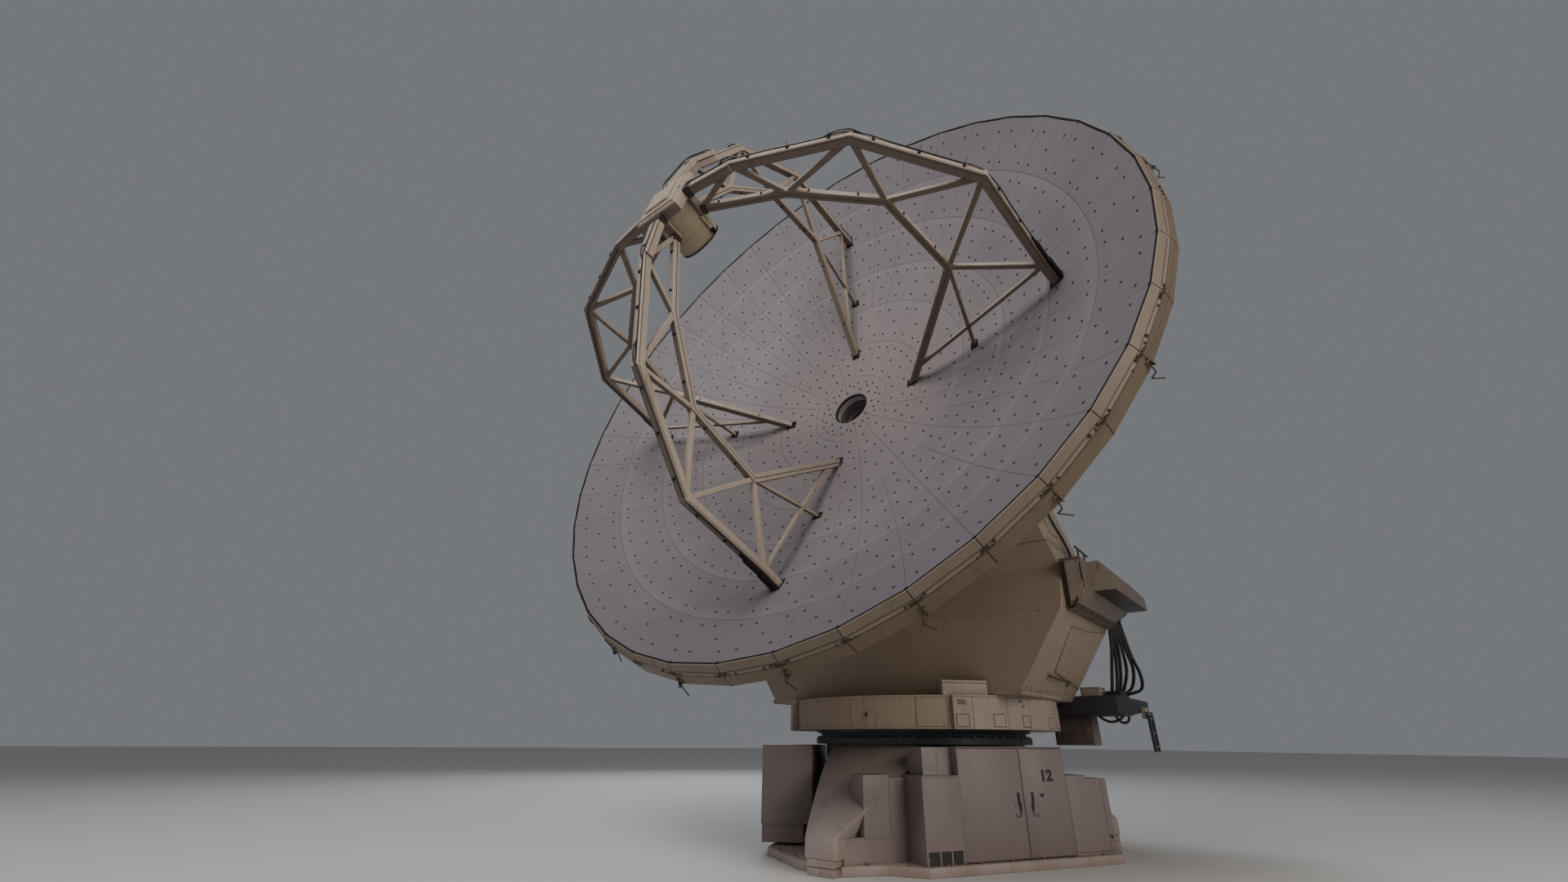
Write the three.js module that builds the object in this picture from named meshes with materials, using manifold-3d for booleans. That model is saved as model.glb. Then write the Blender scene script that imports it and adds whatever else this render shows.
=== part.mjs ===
// Radio telescope dish on an altitude-azimuth mount, at full size.
// Millimetres, +Z up. The origin is on the azimuth axis at the level of the feet.
// The base stands square to X and Y. The mount above it is turned to the azimuth of the rest pose,
// and the dish is tipped to the elevation of the rest pose.
import * as THREE from 'three';
import { mergeGeometries, mergeVertices } from 'three/addons/utils/BufferGeometryUtils.js';
import Module from 'manifold-3d';

const wasm = await Module();
wasm.setup();

// Rest pose and axes
const REST_AZIMUTH_DEG = -60;
const REST_ELEVATION_DEG = 15.52;
const ELEVATION_AXIS_HEIGHT = 7290;
const GAP = 0.3;

// Reflector: a paraboloid with a forty-sided rim
const RIM_RADIUS = 6000;
const FOCAL_LENGTH = 4800;
const RIM_SIDES = 40;
const VERTEX_AHEAD = 2100;
const VERTEX_HOLE_RADIUS = 380;
const PANEL_THICKNESS = 60;
const PANEL_RINGS = [VERTEX_HOLE_RADIUS, 1100, 2000, 3000, 4000, 5000, RIM_RADIUS];
const REFLECTOR_SECTORS = 8;
const FIRST_SECTOR_DEG = 18;

// Back structure behind the reflector
const BACK_SECTORS = 4;
const HUB_RADIUS = 1900;
const HUB_BACK = -750;
const HUB_BORE = 430;
const FASCIA_LIP = 35;
const FASCIA_BREAK = { out: 120, back: 140 };
const FASCIA_END = { out: 170, back: 380 };

// Four truss legs, each in a plane through the dish axis: [radius, height above the vertex]
const OUTER_CHORD = [[380, 5270], [1300, 5180], [2980, 4580], [4240, 3160], [4430, 1410], [4525, 900]];
const INNER_CHORD = [[380, 4940], [1750, 4420], [2930, 3550], [3200, 2090], [1440, 50]];
const MIDDLE_FOOT = [2840, 250];
const INNER_CROSSING = [1790, 420];
const OUTER_BAR = 140;
const INNER_BAR = 115;
const LONG_INNER_BAR = 140;
const WEB_BAR = 80;
const THIN_WEB_BAR = 60;

// Apex frame and secondary mirror
const DRUM_RADIUS = 375;
const DRUM_BOTTOM = 4500;
const APEX_PLATE = { half: 436, bottom: 5190, top: 5345 };
const APEX_POST = { halfWidth: 80, bottom: 4850 };

// Receiver cabin behind the dish, with the trunnions of the elevation axis
const CABIN_HALF_WIDTH = 1480;
const CABIN_HALF_HEIGHT = 1400;
const CABIN_BACK = -1700;
const CABIN_CHAMFER = 420;
const TRUNNION_RADIUS = 560;

// Azimuth part
const RING_RADIUS = 2360;
const RING_BOTTOM = 1840;
const RING_TOP = 2330;
const RING_CABINET_RADIUS = 2440;
const RING_CABINET_HALF_DEG = 50;
const YOKE_TOP = 4750;
const YOKE_FOOT = { x: 2430, y: 1330 };
const YOKE_FLARE = { x: 3270, z: 3560 };
const ARM_STRAIGHT_Z = 4200;
const ARM_TOP = { x: 2750, y: 980, z: 6000 };
const ARM_INNER = 1750;
const ARM_TOP_RADIUS = 850;
const BEARING_HOUSING = 180;
const HOUSING_RADIUS = 620;
const ARM_BOX = { front: -1100, rear: 1700, chamferY: 1100, bottom: 3560, chamferZ: 3840, top: 4360 };
const HOOD_FRONT = -600;
const DECK = { x: 3200, y0: 1330.3, y1: 3900, top: 2440, front: 2120, rear: 2280 };

// Cables held by the right equipment box, the arm and the deck: routes in the frame of the mount
const BOX_CABLE_RADIUS = 30;
const BOX_CABLES = [
  [[3310, 1375, 3740], [3250, 1500, 3300], [3130, 1680, 2850], [3040, 1770, 2470]],
  [[3340, 1385, 3740], [3290, 1530, 3260], [3190, 1760, 2810], [3100, 1860, 2470]],
  [[3375, 1395, 3750], [3340, 1560, 3230], [3240, 1830, 2820], [3130, 1970, 2470]],
  [[3410, 1405, 3750], [3400, 1600, 3210], [3330, 1900, 2850], [3150, 2090, 2480]],
  [[3440, 1415, 3760], [3450, 1680, 3200], [3440, 1960, 2900], [3330, 2140, 2620], [3140, 2200, 2490]],
  [
    [3465, 1425, 3770], [3490, 1720, 3180], [3530, 2020, 2820],
    [3470, 2220, 2590], [3290, 2290, 2520], [3130, 2310, 2490],
  ],
];
const DECK_LOOP_RADIUS = 22;
const DECK_LOOPS = [
  [[2760, 1700, 2110], [2850, 1710, 2040], [2960, 1720, 2010], [3080, 1730, 2040], [3170, 1740, 2110]],
  [[2950, 2100, 2110], [3010, 2105, 2030], [3080, 2110, 2000], [3150, 2115, 2030], [3180, 2120, 2110]],
];
const ARM_CABLE_RADIUS = 24;
const ARM_CABLE = [
  [2880, -40, 6700], [2840, 0, 6200], [2925, 60, 5560], [3045, 200, 5110],
  [3200, -60, 4720], [3330, -480, 4420], [3345, -560, 4350],
];

// Fixed base
const PEDESTAL_RADIUS = 1770;
const PEDESTAL_TOP = 1620;
const FRAME_HEIGHT = 120;
const LEG_ANGLES_DEG = { front_left: -148, front_right: -17, rear: 96 };
const LEG_REACH = 3390;
const LEG_TOP_WIDTH = 2000;
const LEG_FOOT_WIDTH = 520;
const LEG_FOOT_TOP = 450;
const FOOT_TOP = 200;
const FOOT_WIDTH = 440;
const SIDE_CABINET_TURNS_DEG = { left: -120, right: 130 };
const BEARING_RADIUS = 1950;

// Door cabinet of the base
const CABINET = { x0: -900, x1: 1090, y0: -2350, y1: -1960, z0: 121, z1: 1600 };
const CABINET_WALL = 40;
const DOOR_SPLIT_X = 235;
const DOOR_THICKNESS = 30;

const rad = THREE.MathUtils.degToRad;
const bowl = (r) => (r * r) / (4 * FOCAL_LENGTH);

// Materials
const finish = (metalness) => (color, roughness) =>
  new THREE.MeshStandardMaterial({ color, roughness, metalness });
const paint = finish(0);
const metal = finish(0.9);
const MATERIALS = {
  panel: metal(0xb9b9c0, 0.5),
  white: paint(0xd6cdbf, 0.55),
  cream: paint(0xc9bda4, 0.55),
  beige: paint(0xbfa878, 0.55),
  dark: paint(0x2b2c33, 0.6),
  steel: metal(0x77777c, 0.4),
  cable: paint(0x141416, 0.7),
};

// Geometry helpers
function welded(parts) {
  const bare = parts.map((part) => {
    const copy = part.index ? part.toNonIndexed() : part.clone();
    copy.deleteAttribute('normal');
    copy.deleteAttribute('uv');
    return copy;
  });
  return mergeVertices(mergeGeometries(bare), 1e-3);
}

function toSolid(geometry) {
  const shared = welded([geometry]);
  return new wasm.Manifold(new wasm.Mesh({
    numProp: 3,
    vertProperties: shared.attributes.position.array,
    triVerts: new Uint32Array(shared.index.array),
  }));
}

function toGeometry(solid) {
  const mesh = solid.getMesh();
  const geometry = new THREE.BufferGeometry();
  geometry.setAttribute('position', new THREE.BufferAttribute(mesh.vertProperties, 3));
  geometry.setIndex(new THREE.BufferAttribute(mesh.triVerts, 1));
  return geometry;
}

const joined = (geometries) => toGeometry(geometries.map(toSolid).reduce((all, next) => all.add(next)));
const mirrorX = (geometry) => toGeometry(toSolid(geometry).mirror([1, 0, 0]));
const cut = (body, ...tools) =>
  toGeometry(tools.map(toSolid).reduce((left, tool) => left.subtract(tool), toSolid(body)));

function block(x0, x1, y0, y1, z0, z1) {
  return new THREE.BoxGeometry(x1 - x0, y1 - y0, z1 - z0)
    .translate((x0 + x1) / 2, (y0 + y1) / 2, (z0 + z1) / 2);
}

function prism(points, depth, toFrame) {
  const shape = new THREE.Shape(points.map(([u, v]) => new THREE.Vector2(u, v)));
  return new THREE.ExtrudeGeometry(shape, { depth, bevelEnabled: false }).applyMatrix4(toFrame);
}

const axes = (x, y, z) => new THREE.Matrix4().makeBasis(x, y, z);
const [UX, UY, UZ] = [new THREE.Vector3(1, 0, 0), new THREE.Vector3(0, 1, 0), new THREE.Vector3(0, 0, 1)];
const prismX = (yz, x0, x1) => prism(yz, x1 - x0, axes(UY, UZ, UX)).translate(x0, 0, 0);
const prismY = (xz, y0, y1) => prism(xz, y1 - y0, axes(UX, UZ, UY.clone().negate())).translate(0, y1, 0);
const prismZ = (xy, z0, z1) => prism(xy, z1 - z0, new THREE.Matrix4()).translate(0, 0, z0);

// A profile of [radius, height] pairs, anticlockwise, turned about Z
function turned(profile, segments) {
  const points = profile.map(([r, z]) => new THREE.Vector2(r, z));
  if (profile[0][0] > 0) points.push(points[0].clone());
  return new THREE.LatheGeometry(points, segments).rotateX(Math.PI / 2);
}

// The same profile turned through part of a circle, with flat ends
function turnedSector(profile, startDeg, spanDeg, segments) {
  const outline = profile.map(([r, z]) => new THREE.Vector2(r, z));
  const start = rad(startDeg + 90);
  const span = rad(spanDeg);
  const skin = new THREE.LatheGeometry([...outline, outline[0].clone()], segments, start, span);
  const cap = new THREE.ShapeGeometry(new THREE.Shape(outline));
  const first = cap.clone().rotateY(start - Math.PI / 2);
  const last = cap.clone().rotateY(start + span - Math.PI / 2);
  last.setIndex(Array.from(last.index.array).reverse());
  return welded([skin, first, last]).rotateX(Math.PI / 2);
}

const cylinderZ = (radius, z0, z1, segments = 48) =>
  new THREE.CylinderGeometry(radius, radius, z1 - z0, segments)
    .rotateX(Math.PI / 2).translate(0, 0, (z0 + z1) / 2);
const cylinderX = (radius, x0, x1, segments = 40) =>
  new THREE.CylinderGeometry(radius, radius, x1 - x0, segments)
    .rotateZ(Math.PI / 2).translate((x0 + x1) / 2, 0, 0);

// A square bar between two points of the XZ plane
function bar([x0, z0], [x1, z1], width, depth = width) {
  const length = Math.hypot(x1 - x0, z1 - z0);
  return new THREE.BoxGeometry(length, depth, width)
    .rotateY(-Math.atan2(z1 - z0, x1 - x0))
    .translate((x0 + x1) / 2, 0, (z0 + z1) / 2);
}

const pinY = ([x, z], radius, width) =>
  new THREE.CylinderGeometry(radius, radius, width, 12).translate(x, 0, z);

// A round hose through a list of points
function hose(points, radius, steps) {
  const knots = points.map((p) => new THREE.Vector3(...p));
  const route = new THREE.CatmullRomCurve3(knots, false, 'catmullrom', 0.5);
  const ring = new THREE.Shape();
  for (let i = 0; i < 8; i += 1) {
    const a = (i / 8) * 2 * Math.PI;
    const [u, v] = [radius * Math.cos(a), radius * Math.sin(a)];
    if (i === 0) ring.moveTo(u, v);
    else ring.lineTo(u, v);
  }
  ring.closePath();
  return new THREE.ExtrudeGeometry(ring, { steps, extrudePath: route, bevelEnabled: false });
}

const part = new THREE.Group();
const azimuthPart = new THREE.Group();
azimuthPart.rotation.z = rad(REST_AZIMUTH_DEG);
part.add(azimuthPart);
const elevationPart = new THREE.Group();
elevationPart.position.z = ELEVATION_AXIS_HEIGHT;
elevationPart.rotation.x = rad(90 - REST_ELEVATION_DEG);
azimuthPart.add(elevationPart);

function place(group, name, geometry, material) {
  const mesh = new THREE.Mesh(geometry, material);
  mesh.name = name;
  group.add(mesh);
  return mesh;
}

// Base frame, pedestal and the three splayed legs with their feet
const footBlock = (angleDeg, grow) => block(
  LEG_REACH - 440 - grow, LEG_REACH - 10 + grow, -FOOT_WIDTH / 2 - grow, FOOT_WIDTH / 2 + grow, 0, FOOT_TOP,
).rotateZ(rad(angleDeg));

function baseFrame() {
  const outline = [
    [-1530, -2420], [1930, -2420], [2500, -1800], [2950, -1200], [2980, 350], [1150, 2570],
    [-900, 2650], [-1750, 1950], [-2950, 100], [-2950, -1200], [-2600, -1930], [-1960, -2030],
  ];
  const feet = Object.values(LEG_ANGLES_DEG).map((angle) => footBlock(angle, GAP));
  return cut(prismZ(outline, 0, FRAME_HEIGHT), ...feet);
}

function legShape(angleDeg, grow) {
  const [reach, under] = [LEG_REACH + grow, FOOT_TOP + GAP - grow];
  const flare = turned([
    [0, under], [reach, under], [reach, LEG_FOOT_TOP + grow],
    [PEDESTAL_RADIUS + 20 + grow, PEDESTAL_TOP + grow], [0, PEDESTAL_TOP + grow],
  ], 72);
  const [foot, top] = [LEG_FOOT_WIDTH / 2 + grow, LEG_TOP_WIDTH / 2 + grow];
  const taper = prismX([
    [-foot, FOOT_TOP - 10], [foot, FOOT_TOP - 10], [foot, LEG_FOOT_TOP], [top, PEDESTAL_TOP + 10],
    [-top, PEDESTAL_TOP + 10], [-foot, LEG_FOOT_TOP],
  ], 1200, LEG_REACH + 100).rotateZ(rad(angleDeg));
  return toSolid(flare).intersect(toSolid(taper));
}

function pedestalLeg(angleDeg) {
  const tower = cylinderZ(PEDESTAL_RADIUS + GAP, 0, PEDESTAL_TOP + 10);
  return toGeometry(legShape(angleDeg, 0).subtract(toSolid(tower)));
}

place(part, 'base_frame', baseFrame(), MATERIALS.white);
place(part, 'pedestal', cylinderZ(PEDESTAL_RADIUS, FRAME_HEIGHT + GAP, PEDESTAL_TOP), MATERIALS.white);
for (const [side, angle] of Object.entries(LEG_ANGLES_DEG)) {
  place(part, `leg_${side}`, pedestalLeg(angle), MATERIALS.white);
  place(part, `foot_${side}`, footBlock(angle, 0), MATERIALS.white);
}
const bearingRing = cylinderZ(BEARING_RADIUS, PEDESTAL_TOP + GAP, RING_BOTTOM - GAP);
place(part, 'fixed_bearing_ring', bearingRing, MATERIALS.dark);

// Cabinet with two hinged doors on the front of the base
function doorCabinet() {
  const { x0, x1, y0, y1, z0, z1 } = CABINET;
  const w = CABINET_WALL;
  return cut(
    block(x0, x1, y0 + DOOR_THICKNESS + GAP, y1, z0, z1),
    block(x0 + w, x1 - w, y0 - 10, y1 - w, z0 + w, z1 - w),
  );
}

const cabinetDoor = (x0, x1) =>
  block(x0, x1, CABINET.y0, CABINET.y0 + DOOR_THICKNESS, CABINET.z0 + 20, CABINET.z1 - 20);

place(part, 'door_cabinet', doorCabinet(), MATERIALS.white);
place(part, 'cabinet_door_left', cabinetDoor(CABINET.x0, DOOR_SPLIT_X - 5), MATERIALS.white);
place(part, 'cabinet_door_right', cabinetDoor(DOOR_SPLIT_X + 5, CABINET.x1), MATERIALS.white);

// Closed equipment boxes around the base
const GROUND_Z = FRAME_HEIGHT + GAP;

const legRoom = [LEG_ANGLES_DEG.front_left, LEG_ANGLES_DEG.front_right]
  .flatMap((angle) => [legShape(angle, GAP), toSolid(footBlock(angle, GAP))])
  .reduce((all, next) => all.add(next));
const besideLegs = (blocks) => toGeometry(toSolid(joined(blocks)).subtract(legRoom));

place(part, 'right_box', besideLegs([
  block(CABINET.x1 + GAP, 1900, -2350, -1750, GROUND_Z, 1150),
  block(CABINET.x1 + GAP, 1500, -2350, -1750, 1140, 1200),
]), MATERIALS.white);

place(part, 'stepped_box', besideLegs([
  block(-1520, CABINET.x0 - GAP, -2350, -1800, GROUND_Z, 1220),
  block(-1400, CABINET.x0 - GAP, -2200, -1800, 1210, 1590),
]), MATERIALS.white);

place(part, 'left_box', besideLegs([
  block(-2230, -1800, -1900, -1500, 430, 1220),
  block(-1810, -1525, -1900, -1500, 430, 1180),
  block(-2560, -1525, -1890, -1600, GROUND_Z, 440),
]), MATERIALS.white);

// Two side cabinets, on the other two sides of the base
const sideCabinet = (turnDeg) => joined([
  block(-1150, 1250, -2760, -1900, 420, 1600),
  block(-1000, -760, -2300, -1900, GROUND_Z, 430),
  block(760, 1000, -2300, -1900, GROUND_Z, 430),
]).rotateZ(rad(turnDeg));
for (const [side, turn] of Object.entries(SIDE_CABINET_TURNS_DEG)) {
  place(part, `${side}_side_cabinet`, sideCabinet(turn), MATERIALS.white);
}

// Azimuth ring with its row of cabinets and the yoke above it
place(azimuthPart, 'azimuth_ring', cylinderZ(RING_RADIUS, RING_BOTTOM, RING_TOP, 72), MATERIALS.cream);

function ringCabinets(centreDeg) {
  const inner = RING_RADIUS + GAP;
  const outer = RING_CABINET_RADIUS;
  const profile = [[inner, RING_BOTTOM], [outer, RING_BOTTOM], [outer, RING_TOP], [inner, RING_TOP]];
  return turnedSector(profile, centreDeg - RING_CABINET_HALF_DEG, 2 * RING_CABINET_HALF_DEG, 20);
}
place(azimuthPart, 'ring_cabinets_right', ringCabinets(0), MATERIALS.white);
place(azimuthPart, 'ring_cabinets_left', ringCabinets(180), MATERIALS.white);
const ringTopBox = cut(
  block(-370, 370, -2340, -2090, RING_TOP + GAP, 2550).rotateZ(rad(46)),
  block(-3000, 3000, -YOKE_FOOT.y - GAP, 0, RING_TOP, 2600),
);
place(azimuthPart, 'ring_top_box', ringTopBox, MATERIALS.white);

const yokeFront = [
  [YOKE_FOOT.x, RING_TOP + GAP], [YOKE_FLARE.x, YOKE_FLARE.z], [YOKE_FLARE.x, ARM_STRAIGHT_Z],
  [ARM_TOP.x, ARM_TOP.z], [ARM_TOP.x, ELEVATION_AXIS_HEIGHT + 1000],
];
const yokeSide = [
  [YOKE_FOOT.y, RING_TOP], [YOKE_FOOT.y, YOKE_FLARE.z], [ARM_TOP.y, ARM_STRAIGHT_Z + 100],
  [ARM_TOP.y, ELEVATION_AXIS_HEIGHT - 700], [ARM_TOP_RADIUS, ELEVATION_AXIS_HEIGHT],
];
const mirrored = (half) => [...half, ...half.map(([u, v]) => [-u, v]).reverse()];

function yokeBlank() {
  const dome = Array.from({ length: 11 }, (_, i) => {
    const a = (i + 1) * Math.PI / 12;
    return [ARM_TOP_RADIUS * Math.cos(a), ELEVATION_AXIS_HEIGHT + ARM_TOP_RADIUS * Math.sin(a)];
  });
  const side = [...yokeSide, ...dome, ...yokeSide.map(([u, v]) => [-u, v]).reverse()];
  const front = prismY(mirrored(yokeFront), -2000, 2000);
  return toSolid(front).intersect(toSolid(prismX(side, -4000, 4000)));
}

const blank = yokeBlank();
const yokePiece = (x0, x1, z0, z1) =>
  toGeometry(blank.intersect(toSolid(block(x0, x1, -2000, 2000, z0, z1))));
const rightArm = yokePiece(ARM_INNER, 4000, YOKE_TOP + GAP, 9000);
place(azimuthPart, 'yoke_base', yokePiece(-4000, 4000, 2000, YOKE_TOP), MATERIALS.cream);
place(azimuthPart, 'yoke_arm_right', rightArm, MATERIALS.cream);
place(azimuthPart, 'yoke_arm_left', mirrorX(rightArm), MATERIALS.cream);

const bearingHousing = (radius) =>
  cylinderX(radius, ARM_TOP.x + GAP, ARM_TOP.x + BEARING_HOUSING).translate(0, 0, ELEVATION_AXIS_HEIGHT);
const rightHousing = bearingHousing(HOUSING_RADIUS);
place(azimuthPart, 'bearing_housing_right', rightHousing, MATERIALS.white);
place(azimuthPart, 'bearing_housing_left', mirrorX(rightHousing), MATERIALS.white);

// Hooded equipment box on the outside of each arm
function armBox() {
  const face = YOKE_FLARE.x + GAP;
  const { front, rear, chamferY, bottom, chamferZ, top } = ARM_BOX;
  const body = prismY([
    [face, bottom], [3400, bottom], [3600, 3880], [3600, top], [face, top],
  ], front, rear);
  const side = prismX([
    [front, bottom], [chamferY, bottom], [rear, chamferZ], [rear, top], [front, top],
  ], 3000, 4000);
  const hood = prismY([
    [3590, 3880], [3940, 3880], [3930, 4110], [3750, 4370], [3590, 4360],
  ], HOOD_FRONT, rear);
  return toGeometry(toSolid(body).intersect(toSolid(side)).add(toSolid(hood)));
}
const rightBox = armBox();
place(azimuthPart, 'arm_box_right', rightBox, MATERIALS.cream);
place(azimuthPart, 'arm_box_left', mirrorX(rightBox), MATERIALS.cream);

// Black cables from the right equipment box to a clamp on the deck
function boxCables() {
  const gland = prismX([[1345, 3630], [1500, 3700], [1500, 3820], [1345, 3820]], 3275, 3500);
  const clamp = block(2950, 3190, 1690, 2400, DECK.top + GAP, 2530);
  const hoses = BOX_CABLES.map((route) => hose(route, BOX_CABLE_RADIUS, 24));
  return cut(joined([gland, clamp, ...hoses]), rightBox.clone().translate(0, 0, -0.4), rightBox);
}
place(azimuthPart, 'box_cables', boxCables(), MATERIALS.cable);

// Cable clipped to the outside of the right arm, and the loops under the deck
function armCable() {
  const [slope, top] = [(YOKE_FLARE.x - ARM_TOP.x) / (ARM_TOP.z - ARM_STRAIGHT_Z), ARM_TOP.z];
  const face = (z) => ARM_TOP.x + GAP * 1.5 + slope * Math.max(0, top - z);
  const clip = (z, x, y) => prismY([
    [face(z - 25), z - 25], [x, z - 25], [x, z + 25], [face(z + 25), z + 25],
  ], y - 26, y + 26);
  return cut(
    joined([hose(ARM_CABLE, ARM_CABLE_RADIUS, 40), clip(6250, 2850, 0), clip(5560, 2930, 60)]),
    bearingHousing(HOUSING_RADIUS + GAP),
    rightBox.clone().translate(0, 0, GAP),
  );
}
place(azimuthPart, 'arm_cable', armCable(), MATERIALS.cable);

const deckCables = joined([
  block(2740, 3190, 1680, 2160, DECK.front - 12, DECK.front - GAP),
  ...DECK_LOOPS.map((route) => hose(route, DECK_LOOP_RADIUS, 20)),
]);
place(azimuthPart, 'deck_cables', cut(
  deckCables, block(2000, 3500, 1000, 3000, DECK.front - GAP, DECK.top),
), MATERIALS.cable);

// Rear deck with what stands on it and hangs below it
function rearDeck() {
  const { x, y0, y1, top, front, rear } = DECK;
  const plank = prismX([[y0, front], [y0 + 900, front], [y1, rear], [y1, top], [y0, top]], -x, x);
  return cut(plank, cylinderZ(RING_CABINET_RADIUS + 5, RING_BOTTOM, RING_TOP + GAP, 72));
}
place(azimuthPart, 'rear_deck', rearDeck(), MATERIALS.dark);
place(azimuthPart, 'deck_box', block(2560, 2900, 1500, 1900, DECK.top + GAP, 2600), MATERIALS.white);
const underDeckBox = block(1900, 2600, 1760, 2200, 1620, DECK.front - GAP);
place(azimuthPart, 'under_deck_box', underDeckBox, MATERIALS.cream);

function hangingLadder() {
  const stiles = [3120, 3400].map((y) => block(3290, 3340, y - 25, y + 25, 1500, DECK.front + 100));
  const rungs = [1600, 1850, 2100].map((z) => block(3300, 3330, 3110, 3410, z - 15, z + 15));
  const hanger = block(DECK.x + GAP, 3345, 3095, 3425, 2100, 2300);
  return joined([...stiles, ...rungs, hanger]);
}
place(azimuthPart, 'hanging_ladder', hangingLadder(), MATERIALS.dark);

// Receiver cabin with the trunnions of the elevation axis
function receiverCabin() {
  const [w, h, c] = [CABIN_HALF_WIDTH, CABIN_HALF_HEIGHT, CABIN_CHAMFER];
  const section = [
    [w, -h + c], [w, h - c], [w - c, h], [-w + c, h],
    [-w, h - c], [-w, -h + c], [-w + c, -h], [w - c, -h],
  ];
  return prismZ(section, CABIN_BACK, VERTEX_AHEAD + HUB_BACK - GAP);
}
place(elevationPart, 'receiver_cabin', receiverCabin(), MATERIALS.cream);
const trunnion = cylinderX(TRUNNION_RADIUS, CABIN_HALF_WIDTH + GAP, ARM_INNER - GAP);
place(elevationPart, 'trunnion_right', trunnion, MATERIALS.steel);
place(elevationPart, 'trunnion_left', mirrorX(trunnion), MATERIALS.steel);

// Reflector in sectors, on the back structure in quarters
const dishPart = new THREE.Group();
dishPart.position.z = VERTEX_AHEAD;
elevationPart.add(dishPart);

const frontLine = PANEL_RINGS.map((r) => [r, bowl(r)]);
const backLine = PANEL_RINGS.map((r) => [r, bowl(r) - PANEL_THICKNESS]);
const sectorSpan = 360 / REFLECTOR_SECTORS;
for (let i = 0; i < REFLECTOR_SECTORS; i += 1) {
  const profile = [...backLine, ...frontLine.slice().reverse()];
  const start = FIRST_SECTOR_DEG + i * sectorSpan;
  const sector = turnedSector(profile, start, sectorSpan, RIM_SIDES / REFLECTOR_SECTORS);
  place(dishPart, `reflector_${i + 1}`, sector, MATERIALS.panel);
}

function backStructure(startDeg) {
  const lip = RIM_RADIUS + FASCIA_LIP;
  const rim = bowl(RIM_RADIUS);
  const underPanels = backLine.map(([r, z]) => [Math.max(r, HUB_BORE), z - GAP]).reverse();
  const profile = [
    [HUB_BORE, HUB_BACK], [HUB_RADIUS, HUB_BACK], [2600, -550], [RIM_RADIUS + 20, rim - 500],
    [RIM_RADIUS + FASCIA_END.out, rim - FASCIA_END.back],
    [RIM_RADIUS + FASCIA_BREAK.out, rim - FASCIA_BREAK.back],
    [lip, rim + 10], [lip - 12, rim + 10], [lip - 12, rim - PANEL_THICKNESS + 8],
    ...underPanels,
  ];
  return turnedSector(profile, startDeg, 360 / BACK_SECTORS, RIM_SIDES / BACK_SECTORS);
}
for (let i = 0; i < BACK_SECTORS; i += 1) {
  place(dishPart, `back_structure_${i + 1}`, backStructure(FIRST_SECTOR_DEG + i * 90), MATERIALS.cream);
}
const tubeRadius = VERTEX_HOLE_RADIUS - 1;
place(dishPart, 'vertex_tube', turned([
  [300, HUB_BACK + GAP], [tubeRadius, HUB_BACK + GAP], [tubeRadius, -15], [352, -15],
  [352, -170], [335, -170], [335, -420], [300, -420],
], 40), MATERIALS.cream);

// Frame at the apex: a plate over the drum and four posts beside it
function apexFrame(inner, grow) {
  const half = APEX_PLATE.half + grow;
  const width = APEX_POST.halfWidth + grow;
  const post = block(inner, half, -width, width, APEX_POST.bottom - grow, APEX_PLATE.bottom + 10);
  const plate = block(-half, half, -half, half, APEX_PLATE.bottom - grow, APEX_PLATE.top + grow);
  return joined([plate, ...[0, 90, 180, 270].map((angle) => post.clone().rotateZ(rad(angle)))]);
}
place(dishPart, 'apex_frame', apexFrame(DRUM_RADIUS + GAP, 0), MATERIALS.white);
place(dishPart, 'subreflector_drum', turned([
  [0, DRUM_BOTTOM + 90], [200, DRUM_BOTTOM + 45], [DRUM_RADIUS - 5, DRUM_BOTTOM],
  [DRUM_RADIUS, DRUM_BOTTOM + 10], [DRUM_RADIUS, APEX_PLATE.bottom - GAP], [0, APEX_PLATE.bottom - GAP],
], 40), MATERIALS.beige);

// Truss legs of the quadripod
const bowlSurface = [[0, -900], [RIM_RADIUS, -900], ...frontLine.slice().reverse(), [0, 0]];
const bowlFiller = toSolid(turned(bowlSurface, RIM_SIDES).translate(0, 0, GAP));
const apexFiller = toSolid(apexFrame(200, GAP));

function trussLeg(angleDeg) {
  const [o0, o1, o2, o3, o4, o5] = OUTER_CHORD;
  const [i0, i1, i2, i3, i4] = INNER_CHORD;
  const webs = [[i0, o1], [o1, i1], [i1, o2], [o2, i2], [i2, o3], [o3, i3], [i3, o4]];
  const bars = [
    bar(o0, o1, OUTER_BAR, 200), bar(o1, o2, OUTER_BAR), bar(o2, o3, OUTER_BAR),
    bar(o3, o4, OUTER_BAR), bar(o4, o5, OUTER_BAR),
    bar(i0, i1, INNER_BAR), bar(i1, i2, INNER_BAR), bar(i2, i3, INNER_BAR),
    bar(i3, i4, LONG_INNER_BAR, INNER_BAR),
    bar(i3, MIDDLE_FOOT, THIN_WEB_BAR), bar(o4, INNER_CROSSING, THIN_WEB_BAR),
    ...webs.map(([a, b]) => bar(a, b, WEB_BAR)),
    ...[o1, o2, o3, o4].map((node) => pinY(node, OUTER_BAR / 2, OUTER_BAR)),
    ...[i1, i2, i3].map((node) => pinY(node, INNER_BAR / 2, INNER_BAR)),
  ];
  const frame = toSolid(joined(bars).rotateZ(rad(angleDeg)));
  return toGeometry(frame.subtract(bowlFiller).subtract(apexFiller));
}
for (const [side, angle] of Object.entries({ right: 0, top: 90, left: 180, bottom: 270 })) {
  place(dishPart, `quadripod_leg_${side}`, trussLeg(angle), MATERIALS.white);
}

export default part;
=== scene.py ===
"""A radio telescope dish on its altitude-azimuth mount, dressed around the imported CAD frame."""
from itertools import pairwise, product
from math import atan2, cos, degrees, pi, radians, sin, tau
from random import Random

import bmesh
import bpy
from mathutils import Matrix, Vector


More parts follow.
